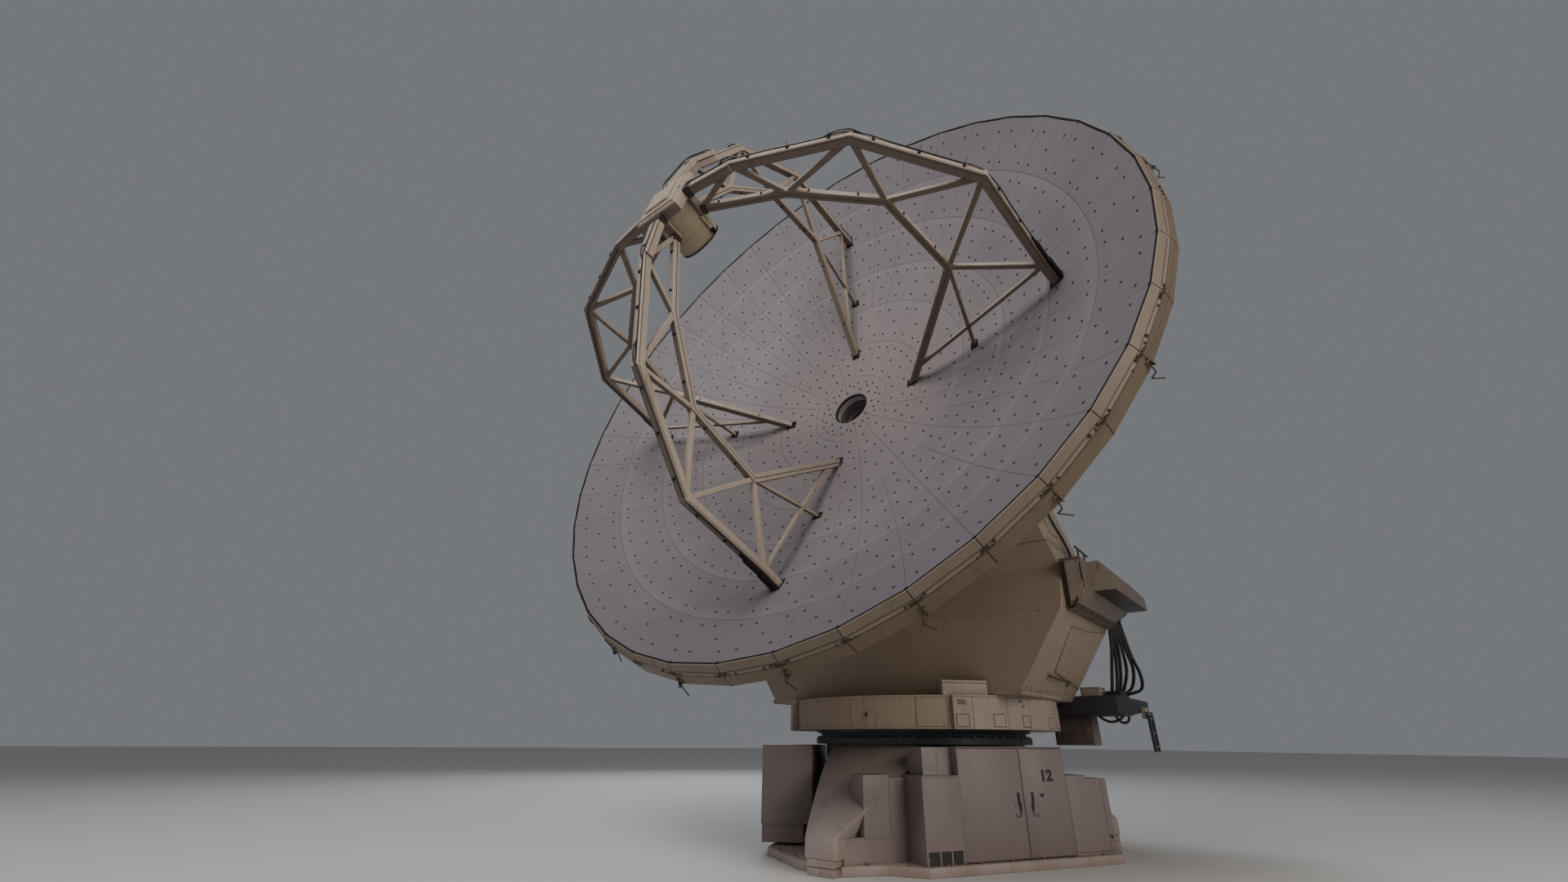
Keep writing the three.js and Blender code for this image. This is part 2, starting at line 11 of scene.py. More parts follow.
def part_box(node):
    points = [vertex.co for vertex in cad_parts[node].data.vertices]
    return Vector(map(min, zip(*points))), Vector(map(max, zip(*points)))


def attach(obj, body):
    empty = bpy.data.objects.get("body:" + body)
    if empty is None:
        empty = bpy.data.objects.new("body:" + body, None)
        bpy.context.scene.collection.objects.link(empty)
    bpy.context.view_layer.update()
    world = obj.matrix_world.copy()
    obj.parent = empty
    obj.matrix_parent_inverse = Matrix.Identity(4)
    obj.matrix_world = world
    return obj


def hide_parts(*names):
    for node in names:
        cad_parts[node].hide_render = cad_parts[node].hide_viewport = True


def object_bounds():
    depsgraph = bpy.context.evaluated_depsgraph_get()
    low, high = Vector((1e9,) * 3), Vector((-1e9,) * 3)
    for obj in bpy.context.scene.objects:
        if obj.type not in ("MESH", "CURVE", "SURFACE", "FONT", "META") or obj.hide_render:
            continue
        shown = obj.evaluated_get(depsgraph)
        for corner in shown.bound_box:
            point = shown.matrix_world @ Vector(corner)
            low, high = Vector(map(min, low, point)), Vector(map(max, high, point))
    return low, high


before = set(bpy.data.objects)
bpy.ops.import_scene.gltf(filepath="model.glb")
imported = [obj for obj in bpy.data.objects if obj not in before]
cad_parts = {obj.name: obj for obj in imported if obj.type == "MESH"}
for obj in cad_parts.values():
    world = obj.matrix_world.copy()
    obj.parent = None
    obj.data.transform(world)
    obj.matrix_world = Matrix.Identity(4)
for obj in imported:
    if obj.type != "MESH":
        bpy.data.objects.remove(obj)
cad_low, cad_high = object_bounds()

# Camera: a wide 14 mm lens at a standing person's eye height, tilted up at the dish.
CAMERA_PLACE = Vector((-6.846, -10.906, 1.66))
CAMERA_RIGHT = Vector((0.9288, -0.3705, 0.0063))
CAMERA_UP = Vector((-0.1624, -0.3916, 0.9057))


def add_object(name, data):
    made = bpy.data.objects.new(name, data)
    bpy.context.scene.collection.objects.link(made)
    return made


camera_data = bpy.data.cameras.new("camera")
camera_data.lens = 14.15
camera_data.sensor_width = 36
camera_data.shift_x = -0.0084
camera_data.shift_y = 0.0074
camera_data.clip_end = 500
camera = add_object("camera", camera_data)
bpy.context.scene.camera = camera
camera_axes = Matrix((CAMERA_RIGHT, CAMERA_UP, CAMERA_RIGHT.cross(CAMERA_UP))).transposed()
camera.matrix_world = Matrix.Translation(CAMERA_PLACE) @ camera_axes.to_4x4()

# Floor: one plain pale sheet, larger than any view.
FLOOR_HALF = 150


class Shade:
    """A socket of a material's nodes: expressions on it add their Math nodes."""

    def __init__(self, tree, socket=None):
        self.tree = tree
        self.socket = socket

    def node(self, kind, sockets, settings=None, out=0):
        made = self.tree.nodes.new("ShaderNode" + kind)
        for name, value in (settings or {}).items():
            setattr(made, name, value)
        for name, value in sockets.items():
            if isinstance(value, Shade):
                self.tree.links.new(value.socket, made.inputs[name])
            else:
                made.inputs[name].default_value = value
        return Shade(self.tree, made.outputs[out] if len(made.outputs) else None)

    def math(self, operation, *values):
        return self.node("Math", dict(enumerate(values)), {"operation": operation})

    def __add__(self, other):
        return self.math("ADD", self, other)

    __radd__ = __add__

    def __sub__(self, other):
        return self.math("SUBTRACT", self, other)

    def __rsub__(self, other):
        return self.math("SUBTRACT", other, self)

    def __mul__(self, other):
        return self.math("MULTIPLY", self, other)

    __rmul__ = __mul__

    def __truediv__(self, other):
        return self.math("DIVIDE", self, other)

    def step(self, low, high):
        """0 at low and 1 at high, smooth between; high may be below low."""
        return self.node("MapRange", {"Value": self, 1: low, 2: high, 3: 0, 4: 1},
                         {"interpolation_type": "SMOOTHSTEP"})

    def split(self):
        parts = self.tree.nodes.new("ShaderNodeSeparateXYZ")
        self.tree.links.new(self.socket, parts.inputs[0])
        return [Shade(self.tree, out) for out in parts.outputs]

    def noise(self, scale, detail=3, stretch=(1, 1, 1), rough=0.5):
        placed = self.node("Mapping", {0: self, "Scale": stretch})
        return self.node("TexNoise", {"Vector": placed, "Scale": scale, "Detail": detail,
                                      "Roughness": rough})

    def blend(self, low, high):
        """Colour low where self is 0, high where it is 1."""
        low, high = [(*c, 1) if isinstance(c, tuple) else c for c in (low, high)]
        return self.node("Mix", {0: self, 6: low, 7: high}, {"data_type": "RGBA"}, 2)


def new_material(name):
    material = bpy.data.materials.new(name)
    material.use_nodes = True
    material.node_tree.nodes.clear()
    return material, Shade(material.node_tree).node("TexCoord", {}, out=3)


def close_material(at, bump=None, height=0.001, **sockets):
    """Ends a material in one Principled shader; the socket names come as keywords."""
    values = {name.replace("_", " "): value for name, value in sockets.items()}
    if bump is not None:
        values["Normal"] = at.node("Bump", {"Strength": 1, "Distance": height, "Height": bump})
    at.node("OutputMaterial", {"Surface": at.node("BsdfPrincipled", values)})


floor_bm = bmesh.new()
bmesh.ops.create_grid(floor_bm, x_segments=1, y_segments=1, size=FLOOR_HALF)
floor_mesh = bpy.data.meshes.new("floor")
floor_bm.to_mesh(floor_mesh)
floor_bm.free()
add_object("floor", floor_mesh)
floor_finish, at = new_material("floor_finish")
close_material(at, Base_Color=(0.60, 0.59, 0.58, 1), Roughness=0.9)
floor_mesh.materials.append(floor_finish)

# Light: an even pale sky, one large soft key from the camera's left, a fill and a back light,
# all aimed at the middle of the mount.
AIM = Vector((0, 0, 5))
LIGHTS = (
    ("key", (-17, -15, 20), 11, 3650, (1.0, 0.96, 0.92)),
    ("fill", (6, -24, 10), 12, 2050, (1.0, 0.92, 0.80)),
    ("back", (3, 22, 19), 14, 2900, (0.92, 0.95, 1.0)),
)
for light_name, place, size, power, colour in LIGHTS:
    light_data = bpy.data.lights.new(light_name, "AREA")
    light_data.size = size
    light_data.energy = power
    light_data.color = colour
    lamp = add_object(light_name, light_data)
    lamp.location = place
    lamp.rotation_mode = "QUATERNION"
    lamp.rotation_quaternion = (Vector(place) - AIM).to_track_quat("Z", "Y")
world = bpy.data.worlds.new("sky")
world.use_nodes = True
world.node_tree.nodes["Background"].inputs[0].default_value = (0.72, 0.75, 0.80, 1)
world.node_tree.nodes["Background"].inputs[1].default_value = 0.25
bpy.context.scene.world = world

# Base frame: a flat welded steel plate on the foundation, painted white, with a row of
# anchor bolts round its edge.
ANCHOR_STEP = 0.55
ANCHOR_INSET = 0.07


def paint(name, colour, dirt, streak=0.4, rust=0.0, ground_dirt=0.0, roughness=0.5):
    """Weathered paint on plate: cloudy tone, streaks that run down, dust low down, rust specks."""
    material, at = new_material(name)
    cloud = at.noise(0.55, 4, rough=0.6).step(0.38, 0.68)
    runs = at.noise(1.6, 4, (3.2, 3.2, 0.22), 0.62).step(0.48, 0.80)
    fine = at.noise(24, 3).step(0.35, 0.75)
    tone = (cloud * 0.35).blend(colour, tuple(c * 0.84 for c in colour))
    tone = (runs * streak).blend(tone, dirt)
    tone = (fine * 0.12).blend(tone, tuple(c * 0.5 for c in dirt))
    if ground_dirt:
        low = at.split()[2].step(0.55, 0.0) * at.noise(3.0, 5).step(0.30, 0.66) * ground_dirt
        tone = low.blend(tone, (0.26, 0.16, 0.11))
    if rust:
        specks = at.noise(9, 4, (1, 1, 0.55), 0.7).step(0.69, 0.76) * rust
        tone = specks.blend(tone, (0.17, 0.065, 0.03))
    close_material(at, at.noise(60, 2) + at.noise(7, 3) * 1.5, 0.0012, Base_Color=tone,
                   Roughness=at.noise(5, 3) * 0.24 + (roughness - 0.10))
    return material


def metal(name, colour, roughness=0.4, metallic=0.9, stain=(0.10, 0.06, 0.04)):
    """Bare or galvanised metal with fine scratches and stains."""
    material, at = new_material(name)
    marks = at.noise(90, 2, (1, 1, 0.15)).step(0.4, 0.7)
    stains = at.noise(3.5, 4, rough=0.65).step(0.5, 0.75)
    tone = (marks * 0.3).blend(colour, tuple(c * 0.6 for c in colour))
    tone = (stains * 0.5).blend(tone, stain)
    close_material(at, marks, 0.0004, Base_Color=tone, Metallic=metallic,
                   Roughness=stains * 0.25 + roughness)
    return material


def turned(angle, axis="Z"):
    """A turn in degrees about an axis through the origin."""
    return Matrix.Rotation(radians(angle), 4, axis)


def close_part(bm, faces, bevel, slot, sharp=1.0):
    """Rounds the edges of a new part that are sharper than an angle and gives it a slot."""
    if bevel:
        bmesh.ops.recalc_face_normals(bm, faces=list(faces))
        edges = [e for e in {e for f in faces for e in f.edges} if e.calc_face_angle(0) > sharp]
        grown = bmesh.ops.bevel(bm, geom=edges, offset=bevel, segments=1, profile=0.5,
                                affect="EDGES", material=-1)
        faces = {face for vert in grown["verts"] for face in vert.link_faces}
    for face in faces:
        face.material_index = slot


def add_box(bm, low, high, bevel=0.004, turn=Matrix(), slot=0):
    """A block between two corners, in the frame turn."""
    low, high = Vector(low), Vector(high)
    place = Matrix.Translation((low + high) / 2) @ Matrix.Diagonal((*(high - low), 1))
    made = bmesh.ops.create_cube(bm, size=1, matrix=turn @ place)["verts"]
    close_part(bm, {face for vert in made for face in vert.link_faces}, bevel, slot)


def add_rod(bm, start, end, radius, sides=12, slot=0, bevel=0, turn=Matrix(), end_radius=None):
    """A round bar, or a taper, between two points, with closed ends."""
    start, end = turn @ Vector(start), turn @ Vector(end)
    place = (Matrix.Translation((start + end) / 2)
             @ (end - start).to_track_quat("Z", "Y").to_matrix().to_4x4())
    made = bmesh.ops.create_cone(bm, cap_ends=True, segments=sides, radius1=radius,
                                 radius2=radius if end_radius is None else end_radius,
                                 depth=(end - start).length, matrix=place)["verts"]
    close_part(bm, {face for vert in made for face in vert.link_faces}, bevel, slot)


def add_bolts(bm, spots, normal, radius, height, slot=0, turn=Matrix()):
    """Hexagon heads on washers at these spots, all facing along normal."""
    out = (turn.to_3x3() @ Vector(normal)).normalized()
    sunk, washer_height, washer_radius = 0.002, height * 0.2, radius * 1.5
    for spot in spots:
        foot = turn @ Vector(spot)
        add_rod(bm, foot - out * sunk, foot + out * washer_height, washer_radius, slot=slot)
        add_rod(bm, foot, foot + out * height, radius, 6, slot)


def new_piece(name, bm, materials, body, place=Matrix(), smooth=30, replaces=None):
    """Ends a bmesh in one object at the origin that rides on a body of the mount."""
    bmesh.ops.transform(bm, matrix=place, verts=bm.verts)
    bmesh.ops.recalc_face_normals(bm, faces=bm.faces)
    mesh = bpy.data.meshes.new(name)
    bm.to_mesh(mesh)
    bm.free()
    mesh.shade_smooth()
    mesh.set_sharp_from_angle(angle=radians(smooth))
    for material in materials:
        mesh.materials.append(material)
    piece = add_object(name, mesh)
    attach(piece, body)
    if replaces:
        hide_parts(replaces)


def copy_node(node, bevel=0.008, segments=2, sharp=20):
    """A merged copy of a CAD node with its planes made whole and its edges rounded."""
    bm = bmesh.new()
    bm.from_mesh(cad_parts[node].data)
    bmesh.ops.remove_doubles(bm, verts=bm.verts, dist=1e-5)
    bmesh.ops.dissolve_limit(bm, angle_limit=radians(0.5), verts=bm.verts, edges=bm.edges)
    if bevel:
        edges = [e for e in bm.edges if e.is_manifold and e.calc_face_angle(0) > radians(sharp)]
        bmesh.ops.bevel(bm, geom=edges, offset=bevel, segments=segments, profile=0.5,
                        affect="EDGES", clamp_overlap=True, material=-1)
    for face in bm.faces:
        face.material_index = 0
    return bm


white_paint = paint("white_paint", (0.37, 0.31, 0.288), (0.19, 0.138, 0.11), rust=0.6,
                    ground_dirt=0.4)
bolt_metal = metal("bolt_metal", (0.30, 0.27, 0.25), 0.45)
bm = copy_node("base_frame", 0.01)
top_face = max((f for f in bm.faces if f.normal.z > 0.99), key=lambda f: f.calc_area())
corners = [v.co.copy() for v in top_face.verts]
middle = top_face.calc_center_median()
for a, b in zip(corners, corners[1:] + corners[:1]):
    count = int((b - a).length / ANCHOR_STEP)
    for i in range(count):
        spot = a.lerp(b, (i + 0.5) / count)
        inward = (Vector((middle.x, middle.y, spot.z)) - spot).normalized()
        add_bolts(bm, [spot + inward * ANCHOR_INSET], (0, 0, 1), 0.02, 0.03, 1)
new_piece("base_plate", bm, [white_paint, bolt_metal], "base",
          replaces="base_frame")

# Pedestal: a thick rolled steel tower between two flanges, with eight upright weld strips.
PEDESTAL_RADIUS, FLANGE = 1.77, 0.05
pedestal_low, pedestal_high = (corner.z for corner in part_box("pedestal"))
bm = bmesh.new()
add_rod(bm, (0, 0, pedestal_low + 0.01), (0, 0, pedestal_high - 0.01), PEDESTAL_RADIUS - 0.012, 128)
for z in (pedestal_low, pedestal_high - FLANGE):
    add_rod(bm, (0, 0, z), (0, 0, z + FLANGE), PEDESTAL_RADIUS, 128, bevel=0.006)
for i in range(8):
    add_box(bm, (PEDESTAL_RADIUS - 0.02, -0.012, pedestal_low + FLANGE),
            (PEDESTAL_RADIUS - 0.004, 0.012, pedestal_high - FLANGE), 0.003, turned(22.5 + 45 * i))
new_piece("pedestal_tower", bm, [white_paint], "base", replaces="pedestal")

# Legs: three splayed hollow steel fairings that widen from the feet to the pedestal, of bent
# plate over a row of sunk screws. Each stands on a foot of two stacked plates, shimmed and bolted.
LEG_TURNS = {"front_left": -148, "front_right": -17, "rear": 96}
LEG_FOOT, LEG_TOP = Vector((3.39, 0, 0.45)), Vector((1.79, 0, 1.62))
LEG_OUT = Vector((0.590, 0, 0.807))
SCREW_DEPTHS = {0.05: 0.010356, 0.35: 0.023639, 0.65: 0.045848, 0.95: 0.076984}
for side, angle in LEG_TURNS.items():
    bm = bmesh.new()
    for along, depth in SCREW_DEPTHS.items():
        sunk = LEG_FOOT.lerp(LEG_TOP, along) - LEG_OUT * depth
        add_rod(bm, sunk, sunk + LEG_OUT * 0.008, 0.013, 8)
    new_piece(f"leg_{side}_bolts", bm, [bolt_metal], "base", turned(angle))
    new_piece(f"leg_{side}_fairing", copy_node(f"leg_{side}", 0.014, 3), [white_paint], "base",
              replaces=f"leg_{side}")
    bm = bmesh.new()
    for z0, z1 in ((0, 0.095), (0.107, 0.2)):
        add_box(bm, (2.95, -0.22, z0), (3.38, 0.22, z1), 0.008)
    add_box(bm, (2.965, -0.205, 0.095), (3.365, 0.205, 0.107), 0, slot=1)
    add_bolts(bm, product((3.378,), (-0.15, 0, 0.15), (0.045,)), (1, 0, 0), 0.012, 0.002, 1)
    new_piece(f"foot_{side}_plates", bm, [white_paint, bolt_metal], "base",
              turned(angle), replaces=f"foot_{side}")

# Front cabinet: a folded sheet steel housing, powder coated white, with a rain lip over its two
# doors. Inside a grey mounting plate carries breakers, terminals and cable ducts.
CABINET_LEFT, CABINET_RIGHT = -0.9, 1.09
SEAL, SEAL_FRONT, SEAL_BACK = 0.014, -2.3157, -2.3017
(SEAL_LEFT, SEAL_LOW), (SEAL_RIGHT, SEAL_TOP) = (-0.8595, 0.1615), (1.0495, 1.5595)
PLATE_Y = -2.03
# Painted shade: the cabinets' white is a darker copy of the base's white paint, for the dimmer light
# on the cabinets and box covers.
shaded_cabinet_white = paint("shaded_cabinet_white", (0.240, 0.196, 0.191), (0.16, 0.118, 0.104), 0.25, 0.25,
                      0.4)
gasket_black = paint("gasket_black", (0.020, 0.018, 0.017), (0.05, 0.04, 0.035), 0.2)
device_grey = paint("device_grey", (0.30, 0.31, 0.32), (0.12, 0.11, 0.10), 0.1)
device_dark = paint("device_dark", (0.045, 0.05, 0.055), (0.10, 0.09, 0.08), 0.1)
copper_tone = metal("busbar_copper", (0.55, 0.25, 0.13), 0.35)
bm = copy_node("door_cabinet", 0.006)
add_box(bm, (CABINET_LEFT - 0.015, -2.372, 1.586), (CABINET_RIGHT + 0.01, -2.315, 1.6), 0.003)
for z0, z1 in ((0.121, 0.139), (1.5815, 1.586)):
    add_box(bm, (CABINET_LEFT + 0.01, -2.333, z0), (CABINET_RIGHT - 0.01, -2.3205, z1), 0, slot=1)
new_piece("door_cabinet_housing", bm, [shaded_cabinet_white, gasket_black], "base",
          replaces="door_cabinet")
bm = bmesh.new()
for z in (SEAL_LOW, SEAL_TOP - SEAL):
    add_box(bm, (SEAL_LEFT, SEAL_FRONT, z), (SEAL_RIGHT, SEAL_BACK, z + SEAL), 0.003)
for x in (SEAL_LEFT, SEAL_RIGHT - SEAL):
    add_box(bm, (x, SEAL_FRONT, SEAL_LOW + SEAL), (x + SEAL, SEAL_BACK, SEAL_TOP - SEAL), 0.003)
new_piece("door_seal", bm, [gasket_black], "base")
bm = bmesh.new()
add_box(bm, (-0.82, PLATE_Y, 0.2), (1.01, PLATE_Y + 0.02, 1.53), 0.004)
for z in (0.33, 0.70, 1.07, 1.44):
    add_box(bm, (-0.78, PLATE_Y - 0.07, z - 0.03), (0.97, PLATE_Y, z + 0.03), 0.006, slot=1)
for row, z in enumerate((0.515, 0.885, 1.255)):
    chance = Random(40 + row)
    add_box(bm, (-0.76, PLATE_Y - 0.015, z - 0.018), (0.95, PLATE_Y, z + 0.018), 0.002, slot=3)
    x = -0.74
    while x < 0.84:
        width = chance.choice((0.04, 0.06, 0.09, 0.14))
        tall = chance.choice((0.08, 0.10, 0.13))
        front = PLATE_Y - chance.choice((0.06, 0.08, 0.11))
        add_box(bm, (x, front, z - tall), (x + width, PLATE_Y - 0.012, z + tall), 0.005,
                slot=chance.choice((1, 2, 2)))
        add_box(bm, (x + width * 0.35, front - 0.014, z - 0.015),
                (x + width * 0.65, front, z + 0.02), 0.003, slot=2)
        x += width + chance.choice((0.004, 0.004, 0.03))
new_piece("cabinet_devices", bm, [device_grey, device_grey, device_dark, copper_tone], "base")

# Cabinet doors: two flanged sheet panels on barrel hinges, with stiffening strips behind them,
# a swing handle and a curved stay hook beside the seam on each and a plain painted number on
# the right one.
DOOR_FACE = -2.350
DOORS = {"left": (-0.9, 0.23, -0.888, 0.135, -1), "right": (0.24, 1.09, 1.078, 0.395, 1)}
HANDLE_PARTS = ((-0.022, 0.022, 0.82, 0.98, 0.012), (-0.036, 0.004, 0.74, 0.84, 0.016),
                (-0.030, -0.008, 0.69, 0.75, 0.008), (0.060, 0.085, 0.80, 0.815, 0.004))
label_ink = paint("label_ink", (0.025, 0.02, 0.02), (0.10, 0.08, 0.07), 0.2)
for side, (x0, x1, hinge_x, handle_x, way) in DOORS.items():
    bm = copy_node(f"cabinet_door_{side}", 0.004)
    panel = max((f for f in bm.faces if f.normal.y < -0.99), key=lambda f: f.calc_area())
    bmesh.ops.inset_region(bm, faces=[panel], thickness=0.003, depth=0)
    for face in bmesh.ops.inset_region(bm, faces=[panel], thickness=0.004, depth=0)["faces"]:
        face.material_index = 2
    bmesh.ops.inset_region(bm, faces=[panel], thickness=0.003, depth=0.002)
    for z in (0.28, 0.86, 1.44):
        add_rod(bm, (hinge_x, -2.338, z - 0.04), (hinge_x, -2.338, z + 0.04), 0.0115, slot=1,
                bevel=0.002)
    for z in (0.165, 1.535):
        add_box(bm, (x0 + 0.04, -2.322, z), (x1 - 0.04, -2.3203, z + 0.02), 0)
    new_piece(f"cabinet_door_{side}_leaf", bm, [shaded_cabinet_white, bolt_metal, gasket_black],
              f"{side}_door", replaces=f"cabinet_door_{side}")
    bm = bmesh.new()
    for low_x, high_x, z0, z1, thick in HANDLE_PARTS:
        ends = sorted((handle_x + way * low_x, handle_x + way * high_x))
        add_box(bm, (ends[0], DOOR_FACE - thick, z0), (ends[1], DOOR_FACE, z1), 0.002)
    for i in range(5):
        angle = radians(-140 + 30 * i)
        x, z = handle_x + way * (0.035 - 0.055 * cos(angle)), 0.725 + 0.06 * sin(angle)
        add_rod(bm, (x, DOOR_FACE, z), (x, DOOR_FACE - 0.005, z), 0.011, 10)
    if side == "right":
        add_box(bm, (0.545, DOOR_FACE - 0.004, 0.915), (0.615, DOOR_FACE, 0.96), 0)
    new_piece(f"door_handle_{side}", bm, [gasket_black], f"{side}_door")
number = bpy.data.curves.new("door_number", "FONT")
number.body = "12"
number.size = 0.21
number.extrude = 0.0008
number.offset = 0.011
number.align_x = "CENTER"
number_object = add_object("number_outline", number)
number_mesh = bpy.data.meshes.new_from_object(number_object)
bpy.data.objects.remove(number_object)
bm = bmesh.new()
bm.from_mesh(number_mesh)
bmesh.ops.remove_doubles(bm, verts=bm.verts, dist=1e-5)
new_piece("door_number", bm, [label_ink], "right_door",
          Matrix.Translation((0.71, -2.3525, 1.13)) @ turned(90, "X")
          @ Matrix.Diagonal((1.15, 1, 1, 1)))

# Closed boxes beside the cabinet: sheet steel covers over the cable entries, screwed to the
# base, with dark joints, a latch or pull on two of them and a recessed toe on the stepped one.
BOX_FACE, LEFT_FACE, STEP_FACE = -2.35, -1.9, -2.2
SCREW_Y, SEAM_PROUD = BOX_FACE + 0.0005, 0.0007
BOX_COVERS = (
    ("right_box", 0.011,
     [(1.135, SCREW_Y, 0.3), (1.135, SCREW_Y, 1.0), *product((1.86,), (SCREW_Y,), (0.3, 0.65, 1.0))],
     ((1.772, 1.778, 0.14, 1.135, BOX_FACE), (1.12, 1.88, 0.165, 0.171, BOX_FACE)),
     (((1.80, -2.358, 0.33), (1.845, -2.346, 0.375), 0, 2),)),
    ("stepped_box", 0.011,
     [(-1.48, SCREW_Y, 0.2), *product((-1.48, -0.94), (SCREW_Y,), (0.65, 1.15))],
     ((-1.50, -0.92, 1.196, 1.201, BOX_FACE), (-1.152, -1.147, 1.23, 1.56, STEP_FACE),
      (-1.488, -0.932, 0.125, 0.29, BOX_FACE)),
     (((-1.38, -2.2007, 1.245), (-1.17, -2.196, 1.26), 0, 1),
      ((-1.312, -2.354, 0.122), (-1.288, -2.345, 0.295), 0.002, 0),
      ((-1.122, -2.354, 0.122), (-1.098, -2.345, 0.295), 0.002, 0))),
    ("left_box", 0.010,
     product((-2.19, -1.84, -1.77, -1.56), (LEFT_FACE + 0.0005,), (0.52, 0.82, 1.12)),
     ((-1.812, -1.806, 0.45, 1.175, LEFT_FACE),), ()),
)
for node, screw, spots, seams, parts in BOX_COVERS:
    bm = copy_node(node, 0.012)
    add_bolts(bm, spots, (0, -1, 0), screw, 0.005, 1)
    for x0, x1, z0, z1, y in seams:
        deep = 0.004 if y > BOX_FACE else 0.005
        add_box(bm, (x0, y - SEAM_PROUD, z0), (x1, y + deep, z1), 0, slot=2)
    for low, high, bevel, slot in parts:
        add_box(bm, low, high, bevel, slot=slot)
    new_piece(f"{node}_cover", bm, [shaded_cabinet_white, bolt_metal, gasket_black], "base",
              replaces=node)

# Side cabinets: long electrical housings on two short legs, one on each far side of the base,
# with two flush doors, a skirt with slots under them and a conduit down one corner.
SIDE_CABINET_TURNS = {"left": -120, "right": 130}
SIDE_FRONT, SIDE_END, SKIRT_FRONT = -2.76, 1.22, -2.745
for side, angle in SIDE_CABINET_TURNS.items():
    bm = copy_node(f"{side}_side_cabinet", 0.010)
    bmesh.ops.transform(bm, matrix=turned(-angle), verts=bm.verts)
    for x in (-1.11, 0.05, 1.21):
        add_box(bm, (x - 0.003, SIDE_FRONT - 0.0007, 0.46), (x + 0.003, SIDE_FRONT + 0.005, 1.56),
                0, slot=2)
    for z in (0.458, 1.562):
        add_box(bm, (-1.11, SIDE_FRONT - 0.0007, z - 0.003), (1.21, SIDE_FRONT + 0.005, z + 0.003),
                0, slot=2)
    for x in (-0.06, 0.16):
        add_box(bm, (x - 0.014, SIDE_FRONT - 0.012, 0.95), (x + 0.014, SIDE_FRONT + 0.005, 1.10),
                0.004, slot=1)
    for x, z in product((-1.08, 1.18), (0.62, 1.01, 1.40)):
        add_rod(bm, (x, SIDE_FRONT, z - 0.035), (x, SIDE_FRONT, z + 0.035), 0.0083, 10, 1)
    for x, way in ((1.2495, 1), (-1.1495, -1)):
        add_bolts(bm, product((x,), (-2.60, -2.06), (0.50, 1.01, 1.52)), (way, 0, 0), 0.010, 0.005, 1)
    add_rod(bm, (1.13, -1.93, 0.125), (1.13, -1.93, 0.425), 0.022, 14, 2)
    for x0, x1, y0, y1 in ((-1.12, SIDE_END, SKIRT_FRONT, -2.725), (-1.12, -1.10, -2.724, -2.05),
                           (1.20, SIDE_END, -2.724, -2.05)):
        add_box(bm, (x0, y0, 0.16), (x1, y1, 0.435))
    for i in range(7):
        add_box(bm, (-0.95 + 0.3 * i, SKIRT_FRONT - 0.0025, 0.30),
                (-0.80 + 0.3 * i, SKIRT_FRONT + 0.001, 0.315), 0, slot=2)
    new_piece(f"{side}_side_cabinet_housing", bm, [shaded_cabinet_white, bolt_metal, gasket_black],
              "base", turned(angle), replaces=f"{side}_side_cabinet")

# Bearing ring: the fixed race of the azimuth bearing, machined steel in dark paint on a stepped
# collar, held down by a circle of bolts.
BEARING_RADIUS = 1.95
dark_paint = paint("dark_paint", (0.035, 0.038, 0.048), (0.065, 0.055, 0.05), 0.3, 0.2)


def bolt_circle(bm, count, spot, normal, radius, height, slot=0, axis="Z", first=0):
    """Bolts at equal turns about an axis through the origin; first is in degrees."""
    for i in range(count):
        add_bolts(bm, [spot], normal, radius, height, slot, turned(first + 360 * i / count, axis))


bearing_low, bearing_high = (corner.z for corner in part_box("fixed_bearing_ring"))
collar_z = (bearing_low + bearing_high) / 2
bm = bmesh.new()
for z0, z1, radius in ((bearing_low, collar_z, BEARING_RADIUS),
                       (collar_z, bearing_high - 0.04, BEARING_RADIUS - 0.09),
                       (bearing_high - 0.04, bearing_high, BEARING_RADIUS - 0.02)):
    add_rod(bm, (0, 0, z0), (0, 0, z1), radius, 128, bevel=0.006)
bolt_circle(bm, 60, (BEARING_RADIUS - 0.045, 0, collar_z), (0, 0, 1), 0.015, 0.02, 1)
new_piece("bearing_race", bm, [dark_paint, bolt_metal], "base",
          replaces="fixed_bearing_ring")

# Azimuth ring: the turning drum of the mount, rolled plate with a plug hole and a bolted door
# panel on each side, all in the warm cream of the turning part.
MOUNT = turned(-60)
RING_RADIUS, RING_LOW, RING_TOP = 2.36, 1.84, 2.33
RING_SKIN = RING_RADIUS - 0.008
CREAM_DIRT = (0.145, 0.098, 0.065)
cream_paint = paint("cream_paint", (0.275, 0.215, 0.161), CREAM_DIRT, 0.28, 0.2)
ring_paint = paint("ring_paint", (0.32, 0.245, 0.182), CREAM_DIRT, 0.55, 0.55)
seam_dark = paint("seam_dark", (0.055, 0.042, 0.034), (0.03, 0.02, 0.015), 0.3)


def arc_plate(bm, radii, heights, start, end, slot=0, bevel=0, step=2.5):
    """A curved plate round the Z axis between two angles in degrees, with closed ends."""
    place = turned(start) @ Matrix.Translation((sum(radii) / 2, 0, sum(heights) / 2))
    place = place @ turned(90, "X") @ Matrix.Diagonal(
        (radii[1] - radii[0], heights[1] - heights[0], 1, 1))
    ends = bmesh.ops.create_grid(bm, x_segments=1, y_segments=1, size=0.5, matrix=place)["verts"]
    rim = list({edge for vert in ends for edge in vert.link_edges})
    bmesh.ops.delete(bm, geom=list(ends[0].link_faces), context="FACES_ONLY")
    before = set(bm.faces)
    spun = bmesh.ops.spin(bm, geom=ends + rim, axis=(0, 0, 1), cent=(0, 0, 0), dvec=(0, 0, 0),
                          angle=radians(end - start), steps=max(1, round((end - start) / step)))
    last = [part for part in spun["geom_last"] if isinstance(part, bmesh.types.BMEdge)]
    bmesh.ops.holes_fill(bm, edges=rim + last, sides=4)
    close_part(bm, set(bm.faces) - before, bevel, slot)


